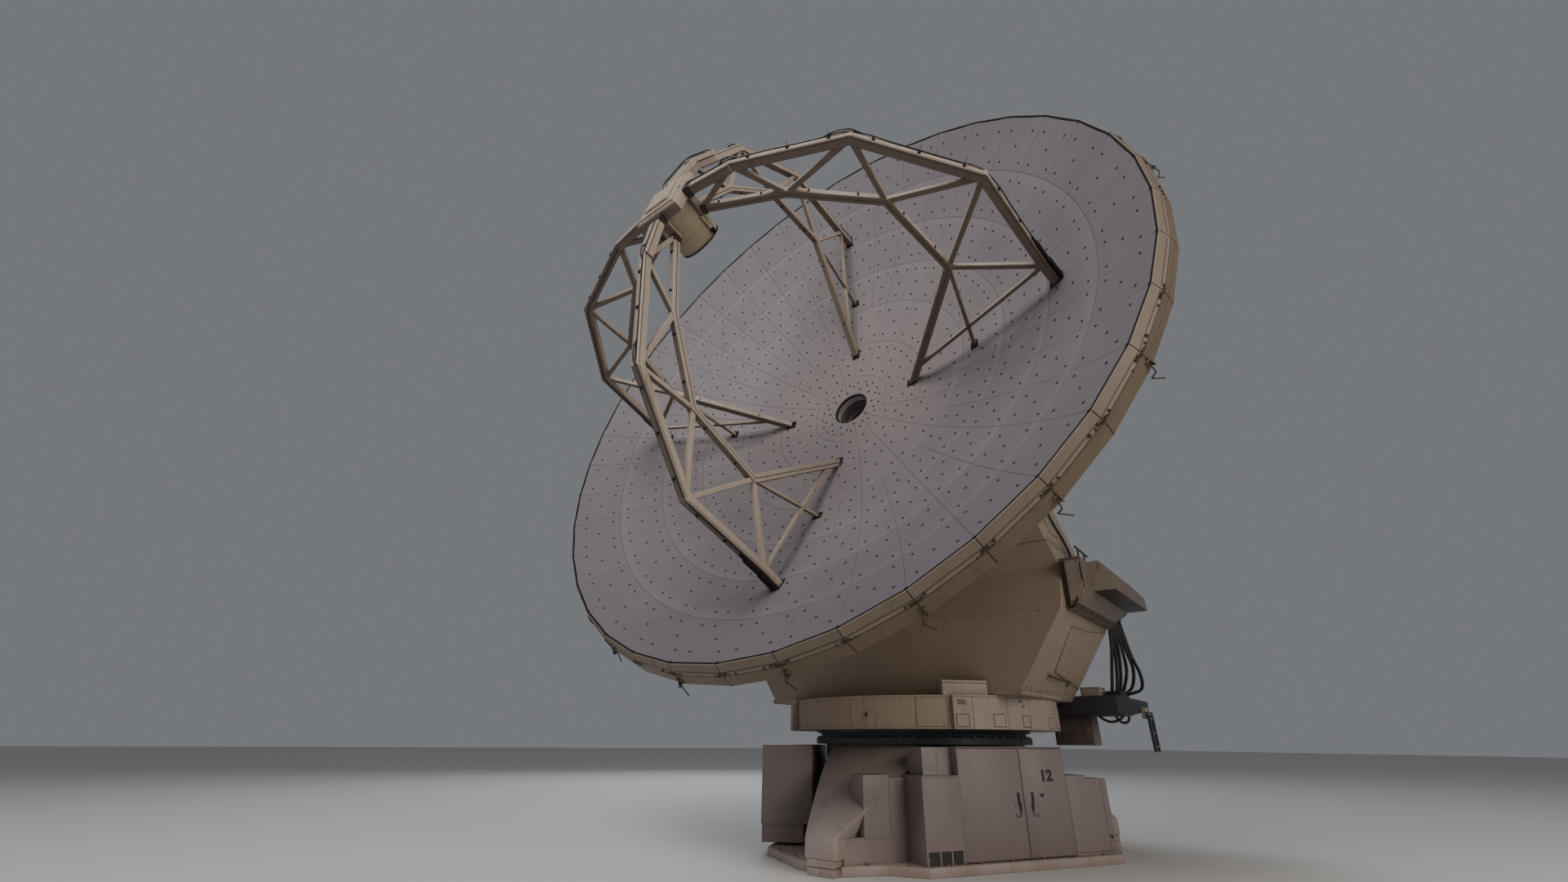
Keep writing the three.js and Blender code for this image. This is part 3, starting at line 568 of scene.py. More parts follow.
bm = bmesh.new()
add_rod(bm, (0, 0, RING_LOW + 0.01), (0, 0, RING_TOP - 0.01), RING_SKIN, 180)
for z in (RING_LOW, RING_TOP - 0.03):
    add_rod(bm, (0, 0, z), (0, 0, z + 0.03), RING_RADIUS, 180, bevel=0.005)
for middle in (-90, 90):
    for angle in (middle - 27, middle, middle + 27):
        arc_plate(bm, (RING_SKIN - 0.002, RING_SKIN + 0.0015), (RING_LOW + 0.03, RING_TOP - 0.03),
                  angle - 0.07, angle + 0.07, slot=1)
    for reach, radius, sides, slot, bevel in ((0.010, 0.048, 24, 0, 0.004),
                                              (0.012, 0.032, 20, 1, 0)):
        add_rod(bm, (RING_RADIUS - 0.012, 0, 2.05), (RING_RADIUS + reach, 0, 2.05), radius, sides,
                slot, bevel, turned(middle + 7.2))
    arc_plate(bm, (RING_RADIUS - 0.02, RING_RADIUS - 0.004), (1.876, 2.289), middle + 26.45,
              middle + 38.15, slot=1)
    arc_plate(bm, (RING_RADIUS - 0.02, RING_RADIUS + 0.002), (1.88, 2.285), middle + 26.6,
              middle + 38.0, bevel=0.004)
    for i in range(13):
        add_bolts(bm, product((RING_SKIN,), (0,), (RING_LOW + 0.055, RING_TOP - 0.055)),
                  (1, 0, 0), 0.010, 0.008, 2, turned(middle - 39 + 5 * i))
new_piece("azimuth_ring_drum", bm, [ring_paint, seam_dark, bolt_metal], "azimuth_mount",
          MOUNT, replaces="azimuth_ring")

# Ring cabinets: flat housings for the cable wrap and drives in a row round each side of the
# ring, sheet covers with small flush doors, screwed on with a dark joint between them.
COVER_RADIUS, COVER_ROOT = 2.44, RING_RADIUS + 0.0005
COVER_SEAMS = (-50, -42.8, -28.6, -17, -3.9, 17, 28.6, 42.8, 50)
SMALL_DOORS = (
    (-49.0, -44.6, 1.880, 2.046), (-34.7, -30, 1.883, 2.055), (-21.2, -17.5, 1.885, 2.035),
    (-3.4, 1.0, 1.870, 2.025), (5, 15.5, 1.885, 2.21), (18.5, 22.5, 1.885, 2.035),
    (31, 35.5, 1.883, 2.055), (44.4, 48.8, 1.880, 2.046),
)
VENT_SLOTS = ((-48.3, -44.8, 2.190), (-48.3, -45.6, 2.215), (-22.4, -20.6, 2.235),
              (-20.8, -19.6, 2.160), (20.6, 22.4, 2.235), (44.8, 48.3, 2.190))
cover_paint = paint("cover_paint", (0.33, 0.268, 0.226), (0.155, 0.106, 0.074), 0.5, 0.7)
for side, middle in (("right", 0), ("left", 180)):
    bm = bmesh.new()
    arc_plate(bm, (COVER_ROOT, COVER_RADIUS - 0.006), (RING_LOW + 0.001, RING_TOP - 0.001),
              middle - 49.8, middle + 49.8, slot=1)
    for end in (middle - 50, middle + 49.72):
        arc_plate(bm, (COVER_ROOT, COVER_RADIUS - 0.002), (RING_LOW, 2.303), end, end + 0.28)
    arc_plate(bm, (COVER_ROOT, COVER_RADIUS), (2.304, RING_TOP), middle - 50, middle + 50,
              bevel=0.004)
    for a, b in pairwise(COVER_SEAMS):
        arc_plate(bm, (COVER_RADIUS - 0.02, COVER_RADIUS), (RING_LOW, 2.3), middle + a + 0.06,
                  middle + b - 0.06, bevel=0.003)
        for angle in (a + 0.6, (a + b) / 2, b - 0.6):
            add_bolts(bm, product((COVER_RADIUS - 0.002,), (0,), (1.86, 2.28)), (1, 0, 0), 0.008,
                      0.005, 2, turned(middle + angle))
    for a, b, low, high in SMALL_DOORS:
        arc_plate(bm, (COVER_RADIUS - 0.01, COVER_RADIUS + 0.0012), (low - 0.011, high + 0.011),
                  middle + a - 0.26, middle + b + 0.26, slot=1)
        arc_plate(bm, (COVER_RADIUS - 0.01, COVER_RADIUS + 0.005), (low, high), middle + a,
                  middle + b, bevel=0.003)
        z = (low + high) / 2
        add_rod(bm, (COVER_RADIUS + 0.004, 0, z), (COVER_RADIUS + 0.010, 0, z), 0.011, slot=2,
                bevel=0.002, turn=turned(middle + b - 0.6))
    for (a, b, z), lift in product(VENT_SLOTS, (0, 0.026)):
        arc_plate(bm, (COVER_RADIUS - 0.01, COVER_RADIUS + 0.0015), (z + lift, z + lift + 0.016),
                  middle + a, middle + b, slot=1)
    new_piece(f"ring_cabinets_{side}_covers", bm, [cover_paint, seam_dark, bolt_metal],
              "azimuth_mount", MOUNT, replaces=f"ring_cabinets_{side}")

# Ring top box: a junction box on the ring's deck, sheet steel with a screwed lid.
bm = copy_node("ring_top_box", 0.008)
box_turn = MOUNT @ turned(46)
add_box(bm, (-0.374, -2.344, 2.505), (0.374, -2.20, 2.515), 0.002, box_turn, 1)
add_bolts(bm, product((-0.34, 0, 0.34), (-2.34,), (2.36, 2.53)), (0, -1, 0), 0.009, 0.006, 2,
          box_turn)
new_piece("ring_top_box_cover", bm, [cover_paint, seam_dark, bolt_metal], "azimuth_mount",
          replaces="ring_top_box")

# Yoke base: the hull of the turning part, welded from steel plate that flares out over the
# ring, with an access hatch, a pull bar and an edge strip on each flank.
FLANK_UP, FLANK_OUT = Vector((0.5641, 0, 0.8257)), Vector((0.8257, 0, -0.5641))
FLANK_FOOT = Vector((2.43, 0, 2.33))
HATCH = ((-0.32, 0.472), (1.30, 0.28), (1.30, 1.40), (0.39, 1.30), (-0.545, 1.276))


def plane(along, up, out, foot):
    """A frame on a face: its x runs along the face, y up it and z out from it."""
    return Matrix.Translation(foot) @ Matrix((along, up, out)).transposed().to_4x4()


def add_plate(bm, corners, thick, slot=0, bevel=0, turn=Matrix()):
    """A flat plate with these corners, grown by the vector thick, in the frame turn."""
    face = bm.faces.new([bm.verts.new(turn @ Vector(corner)) for corner in corners])
    grown = bmesh.ops.extrude_face_region(bm, geom=[face], use_keep_orig=True)["geom"]
    verts = [part for part in grown if isinstance(part, bmesh.types.BMVert)]
    bmesh.ops.translate(bm, vec=turn.to_3x3() @ Vector(thick), verts=verts)
    close_part(bm, {f for v in list(face.verts) + verts for f in v.link_faces}, bevel, slot, 0)


def mirror_across(bm):
    """Adds the left half of a piece that is the same on both sides."""
    half = list(bm.verts) + list(bm.edges) + list(bm.faces)
    other = bmesh.ops.duplicate(bm, geom=half)["geom"]
    verts = [part for part in other if isinstance(part, bmesh.types.BMVert)]
    bmesh.ops.scale(bm, vec=(-1, 1, 1), verts=verts)


FLANK = plane((0, 1, 0), FLANK_UP, FLANK_OUT, FLANK_FOOT)
new_piece("yoke_base_hull", copy_node("yoke_base", 0.022, 3), [cream_paint], "azimuth_mount",
          replaces="yoke_base")
bm = bmesh.new()
outline = [(y * 1.012, up + (0.012 if up > 0.8 else -0.012), -0.002) for y, up in HATCH]
add_plate(bm, [(y, up, -0.002) for y, up in HATCH], (0, 0, 0.012), 0, 0.004, FLANK)
add_plate(bm, outline, (0, 0, 0.006), 1, 0, FLANK)
hatch_bolts = [(-0.28 + 0.19 * i, 0.49522 - 0.022705 * i, 0.010) for i in range(9)]
hatch_bolts += [(-0.48 + 0.145 * i, 1.25, 0.010) for i in range(7)]
hatch_bolts += [(-0.335 - 0.03 * i, 0.56 + 0.13 * i, 0.010) for i in range(5)]
add_bolts(bm, hatch_bolts, (0, 0, 1), 0.011, 0.008, 2, FLANK)
for start, end, radius, sides in (
        ((-0.57, 0.40, 0.05), (0.27, 0.375, 0.05), 0.017, 14),
        ((-0.54, 0.40, 0), (-0.54, 0.40, 0.052), 0.013, 10),
        ((0.24, 0.376, 0), (0.24, 0.376, 0.052), 0.013, 10),
        ((-0.04, 0.86, 0.008), (-0.04, 0.86, 0.016), 0.016, 12),
        ((0.31, 0.79, 0.008), (0.31, 0.79, 0.016), 0.016, 12)):
    add_rod(bm, start, end, radius, sides, 1, turn=FLANK)
old_verts, old_faces = set(bm.verts), set(bm.faces)
hoop = bmesh.ops.create_circle(bm, segments=8, radius=0.0085, matrix=Matrix.Translation(
    (0.055, 0, 0)) @ turned(90, "X"))["verts"]
hoop_edges = list({edge for vert in hoop for edge in vert.link_edges})
bmesh.ops.spin(bm, geom=hoop + hoop_edges, axis=(0, 0, 1), cent=(0, 0, 0), dvec=(0, 0, 0),
               angle=tau, steps=28, use_merge=True)
bmesh.ops.transform(bm, matrix=FLANK @ Matrix.Translation((0.569, 0.335, 0.014)),
                    verts=list(set(bm.verts) - old_verts))
close_part(bm, set(bm.faces) - old_faces, 0, 1)
add_box(bm, (-1.36, 0.02, -0.002), (0.44, 0.075, 0.043), 0.004, FLANK, 3)
add_bolts(bm, [(-1.28 + 0.15 * i, 0.048, 0.043) for i in range(12)], (0, 0, 1), 0.010, 0.008, 2,
          FLANK)
add_bolts(bm, [(-1.2 + 0.24 * i, 0.13, 0) for i in range(11)], (0, 0, 1), 0.011, 0.009, 2, FLANK)
add_box(bm, (3.268, -1.25, 3.575), (3.272, 1.25, 3.585), 0, slot=1)
mirror_across(bm)
new_piece("yoke_flank_fittings", bm, [cream_paint, seam_dark, bolt_metal, cover_paint],
          "azimuth_mount", MOUNT)
bm = bmesh.new()
for z, x, count in ((2.42, 2.44, 12), (3.54, 3.2, 16)):
    for way in (-1, 1):
        add_bolts(bm, [(-x + 0.12 + 0.4 * i, way * 1.329, z) for i in range(count)], (0, way, 0),
                  0.012, 0.009)
new_piece("yoke_hull_bolts", bm, [bolt_metal], "azimuth_mount", MOUNT)

# Yoke arms: two hollow welded towers that carry the elevation axis, with an inspection lid, a
# lifting eye and a splice of bolted plate at the foot.
ARM_LEAN = 0.52 / 1.8
arm_out = Vector((1, 0, ARM_LEAN)).normalized()
ARM = plane((0, 1, 0), (-ARM_LEAN, 0, 1), arm_out, (2.75 + 6.0 * ARM_LEAN, 0, 0))
for side in ("right", "left"):
    new_piece(f"yoke_arm_{side}_tower", copy_node(f"yoke_arm_{side}", 0.03, 3), [cream_paint],
              "azimuth_mount", replaces=f"yoke_arm_{side}")
bm = bmesh.new()
add_plate(bm, ((-0.42, 5.0, -0.002), (0, 5.0, -0.002), (0, 5.75, -0.002), (-0.42, 5.75, -0.002)),
          (0, 0, 0.016), 0, 0.004, ARM)
add_bolts(bm, product((-0.39, -0.21, -0.03), (5.03, 5.26, 5.49, 5.72), (0.014,)), (0, 0, 1),
          0.010, 0.008, 2, ARM)
add_bolts(bm, product([-0.88 + 0.16 * i for i in range(12)], (4.80, 4.68), (0,)), (0, 0, 1),
          0.012, 0.010, 2, ARM)
add_box(bm, (2.75, -0.95, 6.02), (2.753, 0.95, 6.028), 0, slot=1)
seam = [ARM @ Vector((y, z, 0)) for y, z in ((-0.95, 4.742), (0.95, 4.742), (0.95, 4.75),
                                             (-0.95, 4.75))]
add_plate(bm, seam, (0.003, 0, 0), 1)
add_box(bm, (1.95, -0.12, 8.135), (2.55, 0.12, 8.145), 0.003)
add_rod(bm, (2.25, 0, 8.13), (2.25, 0, 8.17), 0.05, 20, bevel=0.006)
mirror_across(bm)
new_piece("yoke_arm_fittings", bm, [cream_paint, seam_dark, bolt_metal], "azimuth_mount",
          MOUNT)

# Bearing housings: round machined covers over the elevation bearings, with two bolt circles and
# an encoder cap in the middle.
AXIS_HEIGHT = 7.29
AXIS = MOUNT @ Matrix.Translation((0, 0, AXIS_HEIGHT))
HOUSING_STEPS = ((2.7503, 2.80, 0.62, 72, 0, 0.006), (2.80, 2.90, 0.56, 72, 0, 0.006),
                 (2.90, 2.92, 0.50, 72, 0, 0.006), (2.90, 2.9299, 0.16, 36, 1, 0.004))
for side, way in (("right", 1), ("left", -1)):
    bm = bmesh.new()
    for x0, x1, radius, sides, slot, bevel in HOUSING_STEPS:
        add_rod(bm, (way * x0, 0, 0), (way * x1, 0, 0), radius, sides, slot, bevel)
    for x, radius, size in ((2.80, 0.59, 0.014), (2.90, 0.53, 0.012)):
        bolt_circle(bm, 20, (way * x, radius, 0), (way, 0, 0), size, size, 2, "X")
    new_piece(f"bearing_housing_{side}_cover", bm, [cover_paint, device_grey, bolt_metal],
              "azimuth_mount", AXIS, replaces=f"bearing_housing_{side}")

# Arm boxes: long sheet steel equipment housings hung on the arms under a rain hood, with a
# rubber gasket round the front cover, side covers and a rail on the roof.
BOX_FRONT, HOOD_FRONT = -1.1, -0.6
FOOT_EDGE = Vector((3.40, 0, 3.575))
SLOPE = Vector((0.19, 0, 0.31)).normalized()
BODY_SIDE = plane((0, 1, 0), SLOPE, (SLOPE.z, 0, -SLOPE.x), FOOT_EDGE)
arm_box_paint = paint("arm_box_paint", (0.150, 0.116, 0.095), (0.075, 0.050, 0.036), 0.6, 0.6)
hood_paint = paint("hood_paint", (0.31, 0.256, 0.212), (0.15, 0.105, 0.078), 0.45, 0.3)
brown_band = paint("brown_band", (0.032, 0.020, 0.015), (0.018, 0.013, 0.010), 0.4)
for side in ("right", "left"):
    new_piece(f"arm_box_{side}_housing", copy_node(f"arm_box_{side}", 0.012), [arm_box_paint],
              "azimuth_mount", replaces=f"arm_box_{side}")
bm = bmesh.new()
for corners, y, thick, slot, bevel in (
        (((3.30, 3.565), (3.395, 3.565), (3.425, 3.615), (3.30, 3.615)), BOX_FRONT - 0.002, 0.01,
         1, 0),
        (((3.40, 3.575), (3.59, 3.885), (3.565, 3.905), (3.375, 3.600)), BOX_FRONT - 0.002, 0.01,
         1, 0),
        (((3.602, 4.352), (3.602, 3.884), (3.936, 3.884), (3.927, 4.108), (3.749, 4.362)),
         HOOD_FRONT - 0.004, 0.006, 4, 0.002)):
    add_plate(bm, [(x, y, z) for x, z in corners], (0, thick, 0), slot, bevel)
for x0, x1, y0, y1, z0, z1, bevel, slot in (
        (3.285, 3.345, BOX_FRONT - 0.002, BOX_FRONT + 0.01, 3.60, 4.30, 0, 1),
        (3.584, 3.601, BOX_FRONT - 0.016, BOX_FRONT + 0.001, 3.97, 4.25, 0.003, 2),
        (3.36, 3.575, BOX_FRONT - 0.012, BOX_FRONT + 0.001, 3.68, 4.31, 0.004, 4),
        (3.44, 3.48, BOX_FRONT - 0.016, BOX_FRONT - 0.012, 3.68, 3.72, 0.001, 2),
        (3.735, 3.745, HOOD_FRONT - 0.008, HOOD_FRONT - 0.003, 4.22, 4.31, 0, 2),
        (3.61, 3.93, HOOD_FRONT + 0.02, 1.68, 3.879, 3.882, 0, 1),
        (3.29, 3.39, -0.9, -0.4, 3.553, 3.561, 0.002, 0),
        (3.29, 3.39, 0.1, 0.6, 3.553, 3.561, 0.002, 0),
        (3.29, 3.39, 0.95, 1.45, 3.553, 3.561, 0.002, 0)):
    add_box(bm, (x0, y0, z0), (x1, y1, z1), bevel, slot=slot)
add_bolts(bm, product((3.385, 3.55), (BOX_FRONT - 0.012,), (3.93, 4.10, 4.28)), (0, -1, 0),
          0.009, 0.007, 3)
for y in (-0.55, 0.0, 0.55, 1.1, 1.62):
    add_box(bm, (3.60, y - 0.003, 4.3605), (3.75, y + 0.003, 4.374), 0, slot=2)
    add_bolts(bm, [(3.932, y, 4.0)], (1, 0, 0), 0.010, 0.007, 3)
    add_bolts(bm, [(3.60, y - 0.2, 4.36)], (0, 0, 1), 0.010, 0.008, 3)
add_rod(bm, (3.33, -0.13, 4.784), (3.33, 0.62, 4.768), 0.018, slot=2)
for y in (0.02, 0.40):
    add_rod(bm, (3.33, y, 4.30), (3.33, y, 4.78), 0.016, 10, 2)
for start, end in ((-1.098, -0.2), (-0.19, 0.75), (0.76, 1.68)):
    add_box(bm, (start, -0.004, 0), (end, 0.085, 0.012), 0.003, BODY_SIDE, 1)
add_bolts(bm, product((-0.95, -0.5, -0.1, 0.4, 0.9, 1.35), (0.04,), (0.012,)), (0, 0, 1), 0.012,
          0.010, 3, BODY_SIDE)
mirror_across(bm)
new_piece("arm_box_fittings", bm, [arm_box_paint, brown_band, seam_dark, bolt_metal, hood_paint],
          "azimuth_mount", MOUNT)

# Cables: heavy black rubber hoses from the right arm box down to a clamp on the deck, a thinner
# one clipped down the arm and the loops under the deck.
rubber_black, at = new_material("rubber_black")
scuffs = at.noise(7, 4, rough=0.65).step(0.5, 0.78)
rubber_tone = (scuffs * 0.5).blend((0.016, 0.016, 0.018), (0.085, 0.07, 0.06))
close_material(at, at.noise(130, 2), 0.0006, Base_Color=rubber_tone, Roughness=scuffs * 0.3 + 0.42)
for node in ("box_cables", "arm_cable", "deck_cables"):
    new_piece(f"{node}_hoses", copy_node(node, 0), [rubber_black], "azimuth_mount",
              smooth=50, replaces=node)

# Rear deck: a dark steel platform behind the yoke, chequer plate on a beam frame, with bolts
# along its edges, a box with a lid and three glands on it and a box with a louvred door below.
DECK_SIDE, DECK_BACK, DECK_TOP, DECK_FRONT_Z, DECK_REAR_Z = 3.2, 3.9, 2.44, 2.12, 2.28
deck_steel, at = new_material("deck_steel")
checks = at.node("Mapping", {0: at, "Rotation": (0, 0, radians(-15)), "Scale": (26, 26, 26)})
raised = checks.node("TexVoronoi", {"Vector": checks, "Scale": 1.0, "Randomness": 0.0})
worn = at.noise(2.6, 4, rough=0.65).step(0.50, 0.78)
deck_tone = (worn * 0.55).blend((0.018, 0.017, 0.027), (0.052, 0.042, 0.040))
close_material(at, raised.step(0.30, 0.22), 0.0015, Base_Color=deck_tone,
               Roughness=worn * 0.2 + 0.58)
new_piece("rear_deck_slab", copy_node("rear_deck", 0.010), [deck_steel], "azimuth_mount",
          replaces="rear_deck")
bm = bmesh.new()
for way in (1, -1):
    add_bolts(bm, [(way * DECK_SIDE, 1.45 + 0.21 * i, 2.40) for i in range(12)], (way, 0, 0),
              0.012, 0.009)
add_bolts(bm, [(-3.08 + 0.44 * i, DECK_BACK, 2.36) for i in range(15)], (0, 1, 0), 0.012, 0.009)
for x in (-2.13, -1.07, 0, 1.07, 2.13):
    add_box(bm, (x - 0.005, 1.36, DECK_TOP - 0.002), (x + 0.005, 3.88, DECK_TOP + 0.0015), 0.001)
    add_bolts(bm, product((x - 0.04, x + 0.04), [1.5 + 0.45 * i for i in range(6)],
                          (DECK_TOP - 0.001,)), (0, 0, 1), 0.010, 0.005)
for x in (-2.4, -1.2, 0, 1.2, 2.4):
    rib = ((1.36, DECK_FRONT_Z - 0.001), (2.21, DECK_FRONT_Z - 0.001), (3.85, DECK_REAR_Z - 0.004),
           (3.85, DECK_REAR_Z + 0.02), (1.36, DECK_FRONT_Z + 0.02))
    add_plate(bm, [(x, y, z) for y, z in rib], (0.014, 0, 0), 1)
    for y in (2.5, 3.1):
        add_box(bm, (x - 0.05, y, 2.19), (x + 0.06, y + 0.06, 2.2), 0.001, slot=1)
new_piece("deck_fixings", bm, [bolt_metal, dark_paint], "azimuth_mount", MOUNT)
bm = bmesh.new()
for inset, z0, z1, bevel, slot in ((0, DECK_TOP + 0.0003, 2.565, 0.006, 0),
                                   (0.006, 2.562, 2.57, 0, 1), (0, 2.569, 2.6, 0.006, 0)):
    add_box(bm, (2.56 + inset, 1.5 + inset, z0), (2.9 - inset, 1.9 - inset, z1), bevel, slot=slot)
add_bolts(bm, product((2.6, 2.86), (1.54, 1.86), (2.598,)), (0, 0, 1), 0.009, 0.002, 2)
for y in (1.58, 1.70, 1.82):
    add_rod(bm, (2.895, y, 2.49), (2.915, y, 2.49), 0.02, 16, 1, 0.003)
new_piece("deck_box_cover", bm, [hood_paint, seam_dark, bolt_metal], "azimuth_mount",
          MOUNT, replaces="deck_box")
bm = bmesh.new()
add_box(bm, (1.93, 1.757, 1.66), (2.57, 1.762, 2.08), 0, slot=1)
add_box(bm, (1.94, 1.754, 1.67), (2.56, 1.762, 2.07), 0.003)
add_box(bm, (2.50, 1.750, 1.83), (2.53, 1.756, 1.91), 0.002, slot=2)
for i in range(6):
    add_box(bm, (2.0, 1.751, 1.71 + 0.022 * i), (2.3, 1.756, 1.718 + 0.022 * i), 0, slot=1)
new_piece("under_deck_door", bm, [arm_box_paint, seam_dark, bolt_metal], "azimuth_mount",
          MOUNT)
new_piece("under_deck_cover", copy_node("under_deck_box", 0.008), [arm_box_paint],
          "azimuth_mount", replaces="under_deck_box")

# Hanging ladder: two dark steel rails with grey end caps, and pale rungs on a pale bracket
# that is bolted to the deck's edge.
bm = bmesh.new()
for y in (3.105, 3.415):
    add_box(bm, (3.29, y - 0.040, 1.5), (3.34, y + 0.040, 2.22))
    for z in (1.5, 2.17):
        add_box(bm, (3.288, y - 0.042, z), (3.342, y + 0.042, z + 0.02), 0.002, slot=2)
for z in (1.6, 1.85, 2.1):
    add_rod(bm, (3.315, 3.12, z), (3.315, 3.40, z), 0.014, slot=1)
add_box(bm, (DECK_SIDE + 0.0005, 3.08, 2.1), (3.29, 3.44, 2.3), 0.008, slot=1)
add_bolts(bm, product((3.288,), (3.14, 3.26, 3.38), (2.14, 2.26)), (1, 0, 0), 0.010, 0.009, 3)
new_piece("hanging_ladder_rungs", bm, [dark_paint, hood_paint, device_grey, bolt_metal],
          "azimuth_mount", MOUNT, replaces="hanging_ladder")

# Receiver cabin: the insulated room behind the dish, sandwich panels on a steel frame, with a
# pair of doors and a vent at the rear, carried on round steel trunnions.
TIP = AXIS @ turned(74.48, "X")
CABIN_HALF_WIDTH, CABIN_HALF_HEIGHT, CABIN_BACK = 1.48, 1.40, -1.7
axle_steel = metal("axle_steel", (0.36, 0.34, 0.33), 0.35)
new_piece("receiver_cabin_shell", copy_node("receiver_cabin", 0.02, 3), [cream_paint], "dish",
          replaces="receiver_cabin")
bm = bmesh.new()
for x0, x1 in ((-0.98, -0.05), (0.05, 0.98)):
    for grow, tall, z0, z1, bevel, slot in ((0.012, 1.062, 0.001, 0.01, 0, 1),
                                            (0, 1.05, 0.0005, 0.01, 0, 0),
                                            (-0.05, 1.0, -0.010, 0.004, 0.006, 0)):
        add_box(bm, (x0 - grow, -tall, CABIN_BACK + z0), (x1 + grow, tall, CABIN_BACK + z1),
                bevel, slot=slot)
    for y in (-0.8, 0, 0.8):
        add_rod(bm, (x0 + 0.015, y - 0.06, CABIN_BACK - 0.004),
                (x0 + 0.015, y + 0.06, CABIN_BACK - 0.004), 0.012, 10, 2)
for x in (-0.12, 0.12):
    add_rod(bm, (x, -0.12, CABIN_BACK - 0.03), (x, 0.12, CABIN_BACK - 0.03), 0.012, slot=2)
    for y in (-0.12, 0.12):
        add_rod(bm, (x, y, CABIN_BACK - 0.036), (x, y, CABIN_BACK), 0.010, 10, 2)
for i in range(9):
    add_box(bm, (0.35, 0.55 + 0.035 * i, CABIN_BACK - 0.018),
            (0.78, 0.568 + 0.035 * i, CABIN_BACK - 0.008), 0.002, slot=1)
for way in (-1, 1):
    half, y = CABIN_HALF_WIDTH - 0.44, way * CABIN_HALF_HEIGHT
    for z in (-1.0, -0.2, 0.6):
        add_box(bm, (-half, y - 0.003, z - 0.005), (half, y + 0.003, z + 0.005), 0, slot=1)
        add_bolts(bm, [(-0.96 + 0.24 * i, y, z + 0.06) for i in range(9)], (0, way, 0), 0.010,
                  0.008, 2)
    x = way * CABIN_HALF_WIDTH
    for z in (-1.0, 0.85):
        add_box(bm, (x - 0.003, -0.97, z - 0.005), (x + 0.003, 0.97, z + 0.005), 0, slot=1)
new_piece("receiver_cabin_fittings", bm, [cream_paint, seam_dark, bolt_metal], "dish",
          TIP)
for side, way in (("right", 1), ("left", -1)):
    bm = bmesh.new()
    for x0, x1, radius in ((1.4803, 1.56, 0.56), (1.56, 1.70, 0.50), (1.70, 1.7497, 0.56)):
        add_rod(bm, (way * x0, 0, 0), (way * x1, 0, 0), radius, 72, bevel=0.006)
    bolt_circle(bm, 18, (way * 1.56, 0.53, 0), (way, 0, 0), 0.012, 0.012, axis="X")
    new_piece(f"trunnion_{side}_axle", bm, [axle_steel], "dish", TIP,
              replaces=f"trunnion_{side}")

# Back structure: carbon fibre box segments behind the panels, painted cream, bolted together
# with cover strips over the radial joints and a folded fascia round the rim.
DISH = TIP @ Matrix.Translation((0, 0, 2.1))
FOCAL_BY_FOUR = 19.2
RIM_RADIUS = 6.0
RIM_Z = RIM_RADIUS ** 2 / FOCAL_BY_FOUR
FASCIA_LIP, FASCIA_BREAK = (6.035, RIM_Z + 0.01), (6.12, RIM_Z - 0.14)
FASCIA_END = (6.17, RIM_Z - 0.38)
CONE_ROOT, CONE_EDGE = Vector((2.6, -0.55)), Vector((6.02, RIM_Z - 0.5))


def polar(at):
    """Radius in metres and turn in degrees round the axis of the dish."""
    x, y, _ = at.node("Mapping", {0: at, "Location": DISH.to_translation(),
                                  "Rotation": DISH.to_euler()}, {"vector_type": "TEXTURE"}).split()
    return at.math("SQRT", x * x + y * y), at.math("ARCTAN2", y, x) * (180 / pi)


def near_line(at, value, spacing, width, scale=1.0):
    """1 on lines a spacing apart, width wide after scale, and 0 between them."""
    away = at.math("PINGPONG", value + spacing * 400, spacing / 2) * scale
    return away.step(width, width * 0.4)


def segment_paint(name, colour, dirt, streak, rust):
    """Paint on the segments behind the panels, with a dark line at each joint."""
    material, at = new_material(name)
    radius, turn = polar(at)
    joint = near_line(at, turn, 9, 0.008, radius * (pi / 180))
    cloud = at.noise(0.6, 4, rough=0.6).step(0.38, 0.68)
    runs = at.noise(1.7, 4, (3, 3, 0.3), 0.62).step(0.48, 0.80)
    specks = at.noise(8, 4, rough=0.7).step(0.66, 0.74) * rust
    tone = (cloud * 0.4).blend(colour, tuple(c * 0.8 for c in colour))
    tone = (runs * streak).blend(tone, dirt)
    tone = specks.blend(tone, (0.16, 0.06, 0.03))
    tone = (joint * 0.85).blend(tone, (0.03, 0.022, 0.018))
    close_material(at, at.noise(40, 2) + at.noise(6, 3) * 1.5 - joint * 3, 0.0015,
                   Base_Color=tone, Roughness=at.noise(5, 3) * 0.2 + 0.42)
    return material


